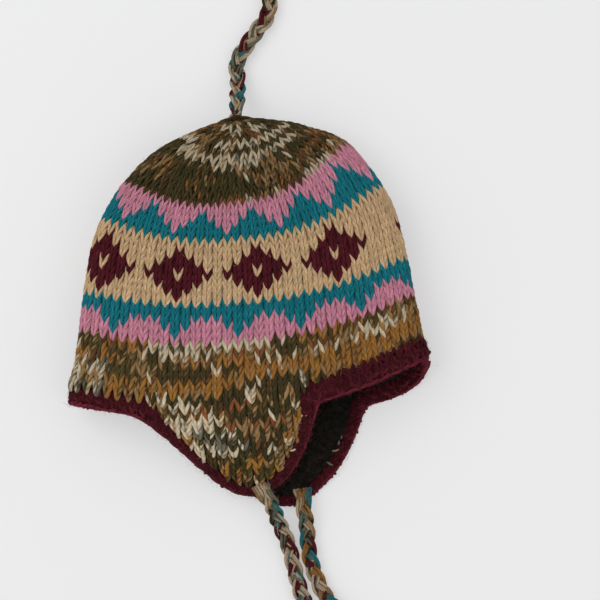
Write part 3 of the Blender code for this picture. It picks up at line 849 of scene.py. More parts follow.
def laying_tree():
    """Geometry Nodes that lay one shape on each point, turned to its wale and its face."""
    tree = bpy.data.node_groups.new("lay_yarn", "GeometryNodeTree")
    sockets = {}
    for name, kind in (("Points", "NodeSocketGeometry"), ("Shapes", "NodeSocketCollection"),
                       ("Size", "NodeSocketFloat"), ("Finish", "NodeSocketMaterial")):
        sockets[name] = tree.interface.new_socket(name, in_out="INPUT", socket_type=kind).identifier
    tree.interface.new_socket("Yarn", in_out="OUTPUT", socket_type="NodeSocketGeometry")
    given = tree.nodes.new("NodeGroupInput").outputs

    def named(name, kind="FLOAT_VECTOR"):
        return add_node(tree, "GeometryNodeInputNamedAttribute", options={"data_type": kind},
                        Name=name).outputs["Attribute"]

    shapes = add_node(tree, "GeometryNodeCollectionInfo", Collection=given["Shapes"],
                      Separate_Children=True, Reset_Children=True)
    to_face = add_node(tree, "FunctionNodeAlignRotationToVector", options={"axis": "Z"},
                       Vector=named("face"))
    to_wale = add_node(tree, "FunctionNodeAlignRotationToVector", options={"axis": "Y", "pivot_axis": "Z"},
                       Rotation=to_face.outputs["Rotation"], Vector=named("wale"))
    size = add_node(tree, "ShaderNodeVectorMath", named("size"), options={"operation": "SCALE"},
                    Scale=given["Size"])
    lay = add_node(tree, "GeometryNodeInstanceOnPoints", Points=given["Points"],
                   Instance=shapes.outputs["Instances"], Pick_Instance=True,
                   Instance_Index=named("pick", "INT"), Rotation=to_wale.outputs["Rotation"],
                   Scale=size.outputs[0])
    real = add_node(tree, "GeometryNodeRealizeInstances", Geometry=lay.outputs["Instances"])
    finish = add_node(tree, "GeometryNodeSetMaterial", Geometry=real.outputs["Geometry"],
                      Material=given["Finish"])
    add_node(tree, "NodeGroupOutput", Yarn=finish.outputs["Geometry"])
    return tree, sockets


LAYING, LAYING_INPUTS = laying_tree()
LEGS = leg_shapes()
HAIRS = hair_shapes()


class Points:
    """Places for one kind of shape, with what the Geometry Nodes read at each."""

    VECTORS, COLOURS = ("wale", "face", "size"), ("yarn", "second_ply")

    def __init__(self):
        self.rows = []

    def add(self, place, wale, face, size, yarn, pick, second=None):
        self.rows.append({"place": place, "wale": wale, "face": face, "size": size, "pick": pick,
                          "yarn": yarn, "second_ply": yarn if second is None else second})

    def lay(self, name, shapes, finish):
        """Lays the shapes and returns them as one plain mesh object."""
        mesh = bpy.data.meshes.new(name)
        mesh.from_pydata(np.array([row["place"] for row in self.rows]).tolist(), [], [])
        for label in self.VECTORS:
            mesh.attributes.new(label, "FLOAT_VECTOR", "POINT").data.foreach_set(
                "vector", np.array([row[label] for row in self.rows], np.float32).ravel())
        mesh.attributes.new("pick", "INT", "POINT").data.foreach_set(
            "value", np.array([row["pick"] for row in self.rows], np.int32))
        for label in self.COLOURS:
            mesh.attributes.new(label, "FLOAT_COLOR", "POINT").data.foreach_set(
                "color", with_alpha([row[label] for row in self.rows]))
        thing = link(bpy.data.objects.new(name, mesh))
        modifier = thing.modifiers.new("lay_yarn", "NODES")
        modifier.node_group = LAYING
        for socket, value in (("Shapes", shapes), ("Size", 1.0), ("Finish", finish)):
            modifier[LAYING_INPUTS[socket]] = value
        graph = bpy.context.evaluated_depsgraph_get()
        laid = bpy.data.meshes.new_from_object(
            thing.evaluated_get(graph), preserve_all_data_layers=True, depsgraph=graph)
        thing.modifiers.remove(modifier)
        thing.data = laid
        laid.name = name
        bpy.data.meshes.remove(mesh)
        for label in self.VECTORS + ("pick",):
            if laid.attributes.get(label):
                laid.attributes.remove(laid.attributes[label])
        places = np.empty(len(laid.vertices) * 3, np.float32)
        laid.vertices.foreach_get("co", places)
        places[2::3] = np.maximum(places[2::3], YARN_FLOOR)
        laid.vertices.foreach_set("co", places)
        laid.shade_smooth()
        return thing


# ---- The knitting chart ----

CAP_ROWS = 40
SIDE_STITCHES = 36           # of a full round: the near side, and then the far side
ROUND_STITCHES = 2 * SIDE_STITCHES
CROWN_ROWS = 14              # down from the tip, where the rounds are still growing
GORES = 8
STITCH_DEPTH = 0.0019        # foot of the stitches below the knit's outer face
ROUND_SHIFT = 0.5 / SIDE_STITCHES    # of a side: the first stitch of a round from the right fold
BRIM_TIPS = 0.24             # of a side: how far from the left fold the last rows lie over the edging
TIP_RAISE = (0.0019, 0.0008)         # how far those two rows are raised, in metres
TIP_DROP = (0.32, 0.05)              # and lowered, in rows

# Bands of the chart: their first and last row, counted up from the rim. How far each tooth reaches
# round from its middle, row by row
LOWER_BAND, LOWER_TEETH = (7, 11), (0.0, 0.6, 1.6, 9.0, 9.0)
DIAMOND_BAND, DIAMOND_ROW, DIAMOND_HALF = (12, 20), 16, 4
UPPER_BAND, UPPER_TEETH = (21, 25), (0.0, 0.6, 1.6, 2.6, 9.0)
ZIGZAG_REPEAT = 6
UPPER_ZIGZAG_START = 1       # stitches from the right fold to the middle of a pink tooth
LOWER_ZIGZAG_START = 0       # the same, to the middle of a teal tooth
DIAMOND_MIDDLES = (8, 16, 24, 32, 41, 50, 60, 69)     # stitches from the right fold, right round the hat


def repeat_distance(stitch, start, repeat):
    """How many stitches away the middle of the nearest repeat is."""
    away = (stitch - start) % repeat
    return min(away, repeat - away)


def chart_yarn(up, stitch):
    """Yarn of one stitch of the patterned bands, counted up from the rim and round from the right
    fold, or None where the yarn is variegated."""
    if LOWER_BAND[0] <= up <= LOWER_BAND[1]:
        away = repeat_distance(stitch, LOWER_ZIGZAG_START, ZIGZAG_REPEAT)
        return "teal" if away < LOWER_TEETH[up - LOWER_BAND[0]] else "pink"
    if DIAMOND_BAND[0] <= up <= DIAMOND_BAND[1]:
        row = DIAMOND_HALF - abs(up - DIAMOND_ROW)
        away = min(repeat_distance(stitch, middle, ROUND_STITCHES) for middle in DIAMOND_MIDDLES)
        middle_stitch = up == DIAMOND_ROW and away == 0
        return "maroon" if away < row and not middle_stitch else "beige"
    if UPPER_BAND[0] <= up <= UPPER_BAND[1]:
        away = repeat_distance(stitch, UPPER_ZIGZAG_START, ZIGZAG_REPEAT)
        return "pink" if away < UPPER_TEETH[up - UPPER_BAND[0]] else "teal"
    return None


VARIEGATED = ("olive", "moss", "brown", "tan", "mustard", "cream", "rust", "grey")
VARIEGATED_SHARES = (0.30, 0.14, 0.16, 0.12, 0.10, 0.10, 0.05, 0.03)

# Runs of the variegated yarn on the near side, row by row up from the rim: the last of the 36 places
# of the round that a run covers, counted from the right fold, and the dyes spun together in it
ROUND_RUNS = {
    0: "36 cream grey, 31 mustard tan, 20 olive cream olive, 12 mustard tan olive",
    1: "36 tan cream, 31 mustard, 18 olive olive cream, 12 mustard tan",
    2: "36 grey cream, 33 tan cream, 31 olive moss, 27 cream, 26 olive, 21 mustard",
    3: "36 cream tan, 33 grey olive cream, 30 tan moss, 26 olive, 21 cream, 20 olive brown, 18 mustard",
    4: ("36 mustard, 29 olive moss tan, 24 mustard rust brown, 17 cream olive, 13 cream tan, "
        "8 cream mustard"),
    5: ("36 cream olive, 33 olive moss, 29 cream tan, 27 olive, 26 cream, 22 tan cream olive, "
        "19 tan rust, 15 olive, 12 tan brown, 7 cream tan"),
    6: ("36 olive moss, 31 mustard rust olive, 27 cream, 23 cream cream olive, 17 olive olive cream, "
        "13 mustard brown, 5 brown tan"),
    26: "36 olive, 25 olive brown, 21 rust brown, 17 tan brown cream, 12 brown, 9 cream, 4 tan",
    27: "36 olive, 28 brown olive, 22 olive, 15 brown tan olive, 4 tan brown",
    28: "36 tan olive, 29 olive brown, 23 olive, 15 brown tan, 5 olive brown",
    29: ("36 olive, 34 brown tan, 29 olive, 25 olive brown, 20 olive, 15 tan brown, 9 olive brown, "
         "4 rust brown"),
    30: "36 olive, 33 tan brown, 29 olive, 18 olive tan, 14 brown tan, 10 olive, 4 rust brown",
    31: "36 olive moss, 22 cream, 16 cream olive, 14 olive tan, 9 olive, 3 cream tan",
    32: "36 olive moss, 30 cream, 3 olive brown",
    33: "36 olive, 31 cream, 27 tan brown, 22 olive brown, 16 olive, 8 olive brown",
    34: "36 cream, 30 tan brown, 24 cream olive, 18 cream, 2 olive",
    35: "36 tan brown, 25 olive brown, 18 olive, 14 rust olive, 10 olive",
    36: "36 brown olive, 22 cream, 18 cream tan, 14 rust brown, 11 cream, 6 olive",
    37: "36 brown tan, 27 cream, 22 olive cream, 11 olive",
    38: "36 olive brown tan",
    39: "36 olive brown",
}

# The same on the near earflap, row by row down from its root, as shares of its width from the right
FLAP_RUNS = (
    "1 olive cream, 0.7 olive, 0.35 cream olive, 0.2 olive tan",
    "1 tan, 0.92 cream, 0.65 brown rust olive, 0.3 olive moss",
    "1 brown olive, 0.7 rust brown, 0.5 olive tan, 0.3 moss olive, 0.1 tan cream",
    "1 cream, 0.55 tan cream, 0.45 cream olive, 0.15 olive tan",
    "1 cream, 0.65 olive, 0.55 tan rust, 0.45 olive, 0.38 rust tan, 0.1 mustard",
    "1 cream rust, 0.9 olive grey, 0.5 olive tan, 0.2 tan moss",
    "1 mustard olive, 0.8 olive grey, 0.4 olive tan, 0.15 mustard",
    "1 cream, 0.72 grey olive, 0.4 olive brown, 0.1 cream mustard",
    "1 cream, 0.6 cream olive, 0.2 cream tan",
    "1 cream olive, 0.8 olive moss, 0.5 mustard olive, 0.2 tan",
    "1 olive mustard, 0.5 rust mustard, 0.2 tan moss",
    "1 olive moss mustard",
    "1 moss brown",
    "1 olive tan",
)

# What the variegated dyes of the crown and of the brim lean to, and by how much
CROWN_TONE = (YARNS["olive"], 0.34)
BRIM_TONE = (linear(86, 68, 42), 0.18)

# The dyes that each dye of the variegated yarn is plied with
MARL = {
    "cream": ("tan", "cream", "grey"), "tan": ("brown", "moss"), "brown": ("olive", "mustard"),
    "olive": ("brown", "moss", "olive"), "moss": ("olive", "tan"), "mustard": ("brown", "tan", "mustard"),
    "rust": ("brown", "tan"), "grey": ("olive", "cream"),
}


def chance_dye():
    """A dye of the variegated yarn, as often as it is seen in the knit."""
    return VARIEGATED[int(rng.choice(len(VARIEGATED), p=VARIEGATED_SHARES))]


def read_runs(line):
    """Runs of dyes from a line such as "36 cream grey, 31 tan": where each ends, and its dyes."""
    return [(float(end), names) for end, *names in map(str.split, line.split(","))]


class SpunYarn:
    """Variegated yarn: its dye changes in runs along the row, chosen or left to chance."""

    STRAY, PLIED = 0.07, 0.6     # chances of a stray dye, and of a second ply in another dye
    RUN_LENGTHS = (7, 22)

    def __init__(self, runs=None):
        self.runs, self.left, self.names = read_runs(runs) if runs else None, 0, ("olive",)

    def leg(self, place=None):
        """The dyes of one leg's two plies, at a place along the chosen runs or anywhere beyond them."""
        if self.runs and place is not None:
            names = [names for end, names in self.runs if place <= end][-1]
        else:
            if self.left <= 0:
                first, second = chance_dye(), chance_dye()
                self.names, self.left = (first, first, second), int(rng.integers(*self.RUN_LENGTHS))
            self.left -= 1
            names = self.names
        first = names[int(rng.integers(len(names)))]
        if rng.random() < self.STRAY:
            first = chance_dye()
        second = first
        if rng.random() < self.PLIED:
            second = MARL[first][int(rng.integers(len(MARL[first])))]
        return YARNS[first], YARNS[second]


TABLE_CLEARANCE = 0.0012     # no loose fibre grows nearer to the table than this
KNIT_FUZZ, KNIT_HAIR = 0.7, 0.75     # loose fibres for each leg of the knit, and their size
# Loose fibres are drawn lighter than their yarn, a painted highlight: 1.25 times on the knit and the
# braids, EDGING_GLOW times on the edging
EDGING_FUZZ, EDGING_GLOW = 5.0, 2.0  # the same for each loop of the edging, and how light they are


class Fuzz:
    """Loose fibres that stand out of the yarn of one piece."""

    def __init__(self, chance, glow=1.25):
        self.chance, self.glow, self.points = chance, glow, Points()

    def grow(self, place, wale, normal, colour, reach=0.0030, size=1.0):
        """Perhaps adds a fibre or two near a place on the yarn."""
        around = np.cross(wale, normal)
        for _ in range(int(self.chance + rng.random())):
            root = place + (wale * rng.normal() + around * rng.normal()) * reach * 0.5
            way = unit(wale * rng.normal() + around * rng.normal() + normal * 0.001)
            face = unit(normal + (wale * rng.normal() + around * rng.normal()) * 0.35)
            scale = size * (0.6 + 0.7 * rng.random())
            if root[2] < TABLE_CLEARANCE:
                continue
            # painted highlight: each fibre is drawn lighter than its yarn, for the light that loose wool
            # fibres catch
            self.points.add(root, way, face, (scale, scale * (0.7 + 0.8 * rng.random()), scale),
                            np.minimum(np.array(colour) * self.glow + 0.004, 1.0),
                            int(rng.integers(HAIRS_MADE)))

    def lay(self, name):
        return self.points.lay(name, HAIRS, FUZZ)


def lay_braid_fuzz():
    """The loose fibres of the three braids."""
    fuzz = Fuzz(1.2)
    for place, way, normal, colour in braid_fibres:
        fuzz.grow(place, way, normal, colour, reach=0.0012, size=0.8)
    return fuzz.lay("braid_fuzz")


hand_over(lay_braid_fuzz(), "braid_wool")


# ---- The cap's knit ----

CROWN_LAST, BAND_LAST = 15, 27       # the last rows of the two upper stretches, down from the tip
CROWN_STITCH = 0.0060


def stitch_leg(points, fuzz, spot, width, height, dyes, leg, spread=0.07, uneven=0.03,
               depth=STITCH_DEPTH, foot_share=FOOT_SHARE):
    """One leg of a stitch at a place with its wale and normal, and its loose fibres.
    Returns the leg's mean colour."""
    place, wale, normal = spot
    colour, second = [tinted(dye, spread) for dye in dyes]
    direction = unit(wale + np.cross(wale, normal) * rng.normal() * 0.05)
    foot = place - normal * (depth + rng.normal() * 0.00012) + wale * height * foot_share
    size = (width / STITCH_WIDTH * (1 + rng.normal() * uneven),
            height / ROW_HEIGHT * (1 + rng.normal() * uneven), 1 + rng.normal() * 0.05)
    points.add(foot, direction, normal, size, colour, 2 * int(rng.integers(BENDS)) + leg, second)
    fuzz.grow(place, wale, normal, colour, size=KNIT_HAIR)
    return (colour + second) / 2


def cap_stitches():
    """Every stitch of the cap: its row twice, as a number and as a share, its way round, its width in
    metres, its number in the round and, on the near side, its place along the chosen runs."""
    stitches = []
    for k in range(1, CAP_ROWS + 1):
        row = (k - 0.5) / CAP_ROWS
        near, far = girth(row)[2]
        if k >= CROWN_ROWS:
            count = SIDE_STITCHES
        else:
            count = GORES // 2 * max(1, int(round((near + far) / (GORES * CROWN_STITCH))))
            count = min(count, SIDE_STITCHES)
        for side, length in ((0, near), (1, far)):
            for j in range(count):
                way = side + (j + 0.5) / count + ROUND_SHIFT
                stitches.append((k, row, way % 2, length / count, side * count + j,
                                 (j + 0.5) / count * SIDE_STITCHES if side == 0 else None))
    return stitches


def diamond_drop(up, way):
    """How far towards the rim a row of the diamonds' band hangs, in rows, more at the left fold."""
    return (0.3 + 0.3 * (1 - abs(way - 1))) * float(np.clip((5 - abs(up - DIAMOND_ROW)) / 2, 0.0, 1.0))


def lay_cap():
    """The knit of the cap in three stretches, its loose fibres, and the colours of its ground."""
    stretches = {"crown_top_knit": Points(), "pattern_band_knit": Points(), "brim_knit": Points()}
    crown, band, brim = stretches.values()
    ground, spun, fuzz = {}, {}, Fuzz(KNIT_FUZZ)
    for k, row, way, width, stitch, run_place in cap_stitches():
        up = CAP_ROWS - k
        row += diamond_drop(up, way) / CAP_ROWS
        spot = cap_frame(row, way)
        half = 0.5 / CAP_ROWS
        height = float(np.linalg.norm(cap_at(row + half, way) - cap_at(row - half, way)))
        height *= min(1.0, 0.45 + 0.2 * k)
        name = chart_yarn(up, stitch)
        points = crown if k <= CROWN_LAST else band if k <= BAND_LAST else brim
        yarn = spun.setdefault(up, SpunYarn(ROUND_RUNS.get(up)))
        depth, foot_share = STITCH_DEPTH, FOOT_SHARE
        if up < 2 and abs(way - 1.0) < BRIM_TIPS:
            depth, foot_share = depth - TIP_RAISE[up], foot_share - TIP_DROP[up]
        for leg in range(2):
            dyes = (YARNS[name],) * 2 if name else yarn.leg(run_place)
            if not name:
                tone, share = CROWN_TONE if up > UPPER_BAND[1] else BRIM_TONE
                dyes = [share * np.array(tone) + (1 - share) * np.array(d) for d in dyes]
            ground[(k, stitch)] = stitch_leg(points, fuzz, spot, width, height, dyes, leg,
                                             0.16 if name == "maroon" else 0.07,
                                             depth=depth, foot_share=foot_share)
    pieces = [points.lay(name, LEGS, KNIT_YARN) for name, points in stretches.items()]
    return pieces + [fuzz.lay("cap_fuzz")], ground


def grid_quads(rows, columns, closed, first=0, flip=False):
    """Faces between the rows of a grid of vertices."""
    faces = []
    for r in range(rows - 1):
        for c in range(columns if closed else columns - 1):
            a, b = first + r * columns + c, first + r * columns + (c + 1) % columns
            quad = (a, b, b + columns, a + columns)
            faces.append(quad[::-1] if flip else quad)
    return faces


def cap_grid(rows, columns, depth):
    """Rings of the cap's surface at a depth, from near the tip to the rim."""
    grid = []
    for row in rows:
        ring = []
        for c in range(columns):
            place, _, normal = cap_frame(row, (2 * c / columns + ROUND_SHIFT) % 2)
            point = place - normal * depth
            ring.append((point[0], point[1], max(point[2], 0.0)))
        grid.append(ring)
    return np.array(grid)


def cap_shell(name, outer, inner, material, tints=None):
    """A closed shell between an outer and an inner grid of the cap, with a colour for each face."""
    count, columns = outer.shape[:2]
    first = count * columns
    vertices = np.concatenate((outer.reshape(-1, 3), inner.reshape(-1, 3),
                               [outer[0].mean(axis=0)], [inner[0].mean(axis=0)]))
    faces = grid_quads(count, columns, True) + grid_quads(count, columns, True, first, flip=True)
    tip, rim = 2 * first, first - columns
    for c in range(columns):
        d = (c + 1) % columns
        faces += [(tip, d, c), (tip + 1, first + c, first + d),
                  (rim + c, rim + d, rim + d + first, rim + c + first)]
    return link(make_mesh(name, vertices, faces, material, tints, domain="FACE"))


def lay_ground(colours):
    """The knit's ground behind its stitches: a closed shell in the chart's own colours, which its material
    darkens as painted shade.
    """
    rows = [max(k, 0.4) / CAP_ROWS for k in range(CAP_ROWS + 1)]
    tints = []
    for k in range(1, len(rows)):
        wide = max(s for (row, s) in colours if row == k) + 1
        for c in range(ROUND_STITCHES):
            share = min(int(c / ROUND_STITCHES * wide), wide - 1)
            tints.append(colours[(k, c if (k, c) in colours else share)])
    tints = tints + tints + [YARNS["olive"]] * (3 * ROUND_STITCHES)
    return cap_shell("cap_ground", cap_grid(rows, ROUND_STITCHES, STITCH_DEPTH + 0.0001),
                     cap_grid(rows, ROUND_STITCHES, KNIT_WALL), SHADED_GROUND, tints)


knit_pieces, ground_colours = lay_cap()
cap_ground = lay_ground(ground_colours)


# ---- Earflaps ----

FLAP_STITCH_ROWS = 14
FLAP_ROW_HEIGHT = 0.0050


def flap_columns(flap):
    """The cap's columns of stitches at a flap's side of the rim: their places across the hat and
    their widths."""
    places = [cap_at(1.0, int(flap.far) + (j + 0.5) / SIDE_STITCHES + ROUND_SHIFT)[0]
              for j in range(SIDE_STITCHES)]
    return [(x, abs(places[min(j + 1, SIDE_STITCHES - 1)] - places[max(j - 1, 0)]) / 2)
            for j, x in enumerate(places)]


def lay_flap(name, flap, runs=None):
    """Stitches of one earflap in upright columns, row by row down to its tip, and, on the near flap only,
    its loose fibres.
    """
    points, fuzz = Points(), Fuzz(KNIT_FUZZ)
    order = np.argsort(flap.root[:, 0])
    root_x, root_across = flap.root[order, 0], np.linspace(-1, 1, len(flap.root))[order]
    for r in range(FLAP_STITCH_ROWS):
        down = (r + 0.5) / FLAP_STITCH_ROWS
        middle = flap.middle_x + flap.read("shift", down) * flap.half
        side = flap.read("side", down) * math.sqrt(1 - down ** FLAP_NOSE_POWER)
        yarn = SpunYarn(runs[r] if runs else None)
        for x, wide in flap_columns(flap):
            for leg in range(2):
                leg_x = x + (0.5 - leg) * -0.5 * wide * (-1 if flap.far else 1)
                if not root_x[0] <= (leg_x - middle) / side + flap.middle_x <= root_x[-1]:
                    continue
                across = float(np.interp((x - middle) / side + flap.middle_x, root_x, root_across))
                place, _, normal = flap.frame(down, across)
                place = place + (x - place[0]) * np.array((1.0, 0.0, 0.0))
                wale = unit(np.array((0.0, 1.0, 0.0)) - normal * normal[1])
                stitch_leg(points, fuzz, (place, wale, normal), wide, FLAP_ROW_HEIGHT,
                           yarn.leg((across + 1) / 2 if runs else None), leg, uneven=0.04)
    knit = points.lay(f"{name}_knit", LEGS, KNIT_YARN)
    return (knit,) if flap.far else (knit, fuzz.lay(f"{name}_fuzz"))


def flap_panel(name, flap, top_depth, bottom_depth, material, colour=None, rows=24, columns=24,
               relief=None):
    """A closed panel between two depths of a flap, with an uneven face where a relief is given."""
    downs = [1 - (1 - i / rows) ** 1.5 for i in range(rows)] + [0.996]
    layers = []
    for depth in (top_depth, bottom_depth):
        for down in downs:
            for c in range(columns + 1):
                across = 2 * c / columns - 1
                place, _, normal = flap.frame(down, across)
                point = place - normal * depth
                if relief:
                    point = point + normal * relief(point)
                layers.append((point[0], point[1], max(point[2], 0.0)))
    count, per_row = len(downs), columns + 1
    size = count * per_row
    flip = flap.far
    faces = grid_quads(count, per_row, False, 0, flip=flip)
    faces += grid_quads(count, per_row, False, size, flip=not flip)
    loop = ([c for c in range(per_row)] + [r * per_row + columns for r in range(1, count)]
            + [(count - 1) * per_row + c for c in range(columns - 1, -1, -1)]
            + [r * per_row for r in range(count - 2, 0, -1)])
    for i, a in enumerate(loop):
        b = loop[(i + 1) % len(loop)]
        quad = (b, a, a + size, b + size)
        faces.append(quad[::-1] if flip else quad)
    colours = None if colour is None else [colour] * len(layers)
    return link(make_mesh(name, layers, faces, material, colours))


flap_pieces = lay_flap("near_earflap", near_flap, FLAP_RUNS) + lay_flap("far_earflap", far_flap)
hand_over(cap_ground, "patterned_wool", "crown")
for name, flap in (("near_earflap", near_flap), ("far_earflap", far_flap)):
    hand_over(flap_panel(f"{name}_ground", flap, STITCH_DEPTH, KNIT_WALL, SHADED_GROUND, YARNS["olive"]),
              "patterned_wool", name)
for piece in knit_pieces + list(flap_pieces):
    hand_over(piece, "patterned_wool")


# ---- Lining ----

def pile_relief(point):
    """Unevenness of the fleece's face."""
    place = Vector(point)
    return 0.0012 * noise.noise(place * 300.0) + 0.0008 * noise.noise(place * 800.0)


FLEECE_ROWS, FLEECE_COLUMNS = 60, 168


def lay_cap_lining():
    """The fleece inside the cap, a closed shell with a matted face."""
    rows = [0.03] + [k / FLEECE_ROWS for k in range(3, FLEECE_ROWS + 1)]
    outer = cap_grid(rows, FLEECE_COLUMNS, LINING_DEPTH)
    inner = cap_grid(rows, FLEECE_COLUMNS, LINING_DEPTH + LINING_WALL)
    for point in inner.reshape(-1, 3):
        push = pile_relief(point)
        point[2] = max(point[2] + push, 0.0)
        point[1] += push
    return cap_shell("cap_fleece", outer, inner, FLEECE)


hand_over(lay_cap_lining(), "black_fleece", "crown_lining")
for stem, flap in (("near", near_flap), ("far", far_flap)):
    hand_over(flap_panel(f"{stem}_flap_fleece", flap, LINING_DEPTH, LINING_DEPTH + LINING_WALL, FLEECE,
                         rows=36, columns=44, relief=pile_relief), "black_fleece", f"{stem}_flap_lining")


# ---- Edging ----

def edging_out(path, normals):
    """The way outwards from the knit's edge at each point of the edging's path."""
    along = np.roll(path, -1, axis=0) - np.roll(path, 1, axis=0)
    return unit(np.cross(unit(along), normals))


def flap_border(flap):
    """Points and normals of a flap's rows along its right and left side, and at its tip."""
    downs = [1 - (1 - i / FLAP_ROWS) ** 1.6 for i in range(FLAP_ROWS)]
    sides = []
    for across in (-1.0, 1.0):
        frames = [flap.frame(d, across) for d in downs[1:]]
        sides.append((np.array([f[0] for f in frames]), np.array([f[2] for f in frames])))
    return sides, flap.tip, flap.frame(0.95, 0.0)[2]


def edging_path():
    """The closed path of the edging round the brim and both flaps, with its normals and widths, and
    how far its corners were eased."""
    path, normals, widths = [], [], []

    def follow(points, directions, width):
        path.extend(points)
        normals.extend(directions)
        widths.extend([width] * len(points))

    for flap, first, last in ((near_flap, 0, 1), (far_flap, 1, 0)):
        sides, tip, tip_normal = flap_border(flap)
        follow(*sides[first], FLAP_EDGING_WIDTH)
        follow([tip], [tip_normal], FLAP_EDGING_WIDTH)
        follow(sides[last][0][::-1], sides[last][1][::-1], FLAP_EDGING_WIDTH)
        if flap is near_flap:
            brim = list(range(NEAR_FLAP_COLUMNS[1], 2 * SIDE_COLUMNS - FAR_FLAP_COLUMNS[1] + 1))
        else:
            brim = [c % (2 * SIDE_COLUMNS) for c in range(
                2 * SIDE_COLUMNS - FAR_FLAP_COLUMNS[0], 2 * SIDE_COLUMNS + NEAR_FLAP_COLUMNS[0] + 1)]
        follow(RIM[brim], RIM_NORMALS[brim], RIM_EDGING_WIDTH)
    path, normals, widths = np.array(path), np.array(normals), np.array(widths)
    path = path - normals * (EDGING_THICKNESS / 2 - EDGING_PROUD)
    if np.mean(edging_out(path, normals)[:, 1]) > 0:
        path, normals, widths = path[::-1], normals[::-1], widths[::-1]
    normals = unit(smoothed(normals, 3))
    before = path
    for _ in range(CORNER_EASING):
        outwards = edging_out(path, normals)
        pull = (np.roll(path, 1, axis=0) + np.roll(path, -1, axis=0)) / 2 - path
        path = path + outwards * (0.5 * np.maximum(np.sum(pull * outwards, axis=1), 0.0))[:, None]
    eased = np.linalg.norm(path - before, axis=1)
    return path, normals, smoothed(widths, 3), smoothed(eased, 2)


def closed_resample(values, lengths, wanted):
    """Rows of values on a closed path read at wanted lengths."""
    rows = np.concatenate((values, values[:1]))
    if rows.ndim == 1:
        return np.interp(wanted, lengths, rows)
    return np.stack([np.interp(wanted, lengths, rows[:, k]) for k in range(rows.shape[1])], axis=1)


def evened_edging(spacing):
    """The edging's path with its points evenly apart, its normals, its widths and its eased corners."""
    path, normals, widths, eased = edging_path()
    steps = np.linalg.norm(np.roll(path, -1, axis=0) - path, axis=1)
    lengths = np.concatenate(([0.0], np.cumsum(steps)))
    count = int(round(lengths[-1] / spacing))
    wanted = np.arange(count) * lengths[-1] / count
    path = smoothed(closed_resample(path, lengths, wanted), 1)
    normals = unit(smoothed(closed_resample(normals, lengths, wanted), 2))
    return path, normals, closed_resample(widths, lengths, wanted), closed_resample(eased, lengths, wanted)


CORE_LAP = 0.0030            # how far the core reaches in between the knit and the lining
CORNER_LAP = 2.6             # how much further it reaches where a corner was eased
CORE_SPACING, LOOP_SPACING = 0.0030, 0.0040
CORE_SIDES = 10


def lay_edging_band():
    """The rounded core of the edging under its crochet loops."""
    path, normals, widths, eased = evened_edging(CORE_SPACING)
    out = edging_out(path, normals)
    vertices, tints = [], []
    for point, normal, way, width, lap in zip(path, normals, out, widths, CORE_LAP + CORNER_LAP * eased):
        middle = point + way * (GAP + (width - lap) / 2)
        for s in range(CORE_SIDES):
            angle = 2 * math.pi * s / CORE_SIDES
            place = (middle + way * ((width + lap) / 2 - 0.0008) * math.cos(angle)
                     + normal * (EDGING_THICKNESS / 2 - 0.0009) * math.sin(angle))
            vertices.append((place[0], place[1], max(place[2], 0.0003)))
            # painted shade: near black where it lies under the lining's edge, and elsewhere 0.6 of the
            # maroon yarn for the shade between and under the crochet loops
            inside = math.sin(angle) < 0.1 and np.dot(place - point, way) < -0.0005
            tints.append(linear(22, 20, 18) if inside else tuple(0.6 * c for c in YARNS["maroon"]))
    faces = grid_quads(len(path), CORE_SIDES, True, flip=True)
    last = (len(path) - 1) * CORE_SIDES
    for s in range(CORE_SIDES):
        t = (s + 1) % CORE_SIDES
        faces.append((s, t, last + t, last + s))
    return link(make_mesh("edging_core", vertices, faces, EDGING_YARN, tints,
                          [(0.0, 0.0)] * len(vertices)))


OVERLAP_REACH = 0.0058       # how far the edging laps over the knit at the right of the near brim
OVERLAP_FROM, OVERLAP_TO = 0.042, 0.062
LOOP_BANDS = (0.04, 0.32, 0.56)      # where the loops' feet lie across the edging, in widths
LOOP_LEAN = 0.45
CHAIN_INSET = 0.0022         # of the chain from the edging's outer edge


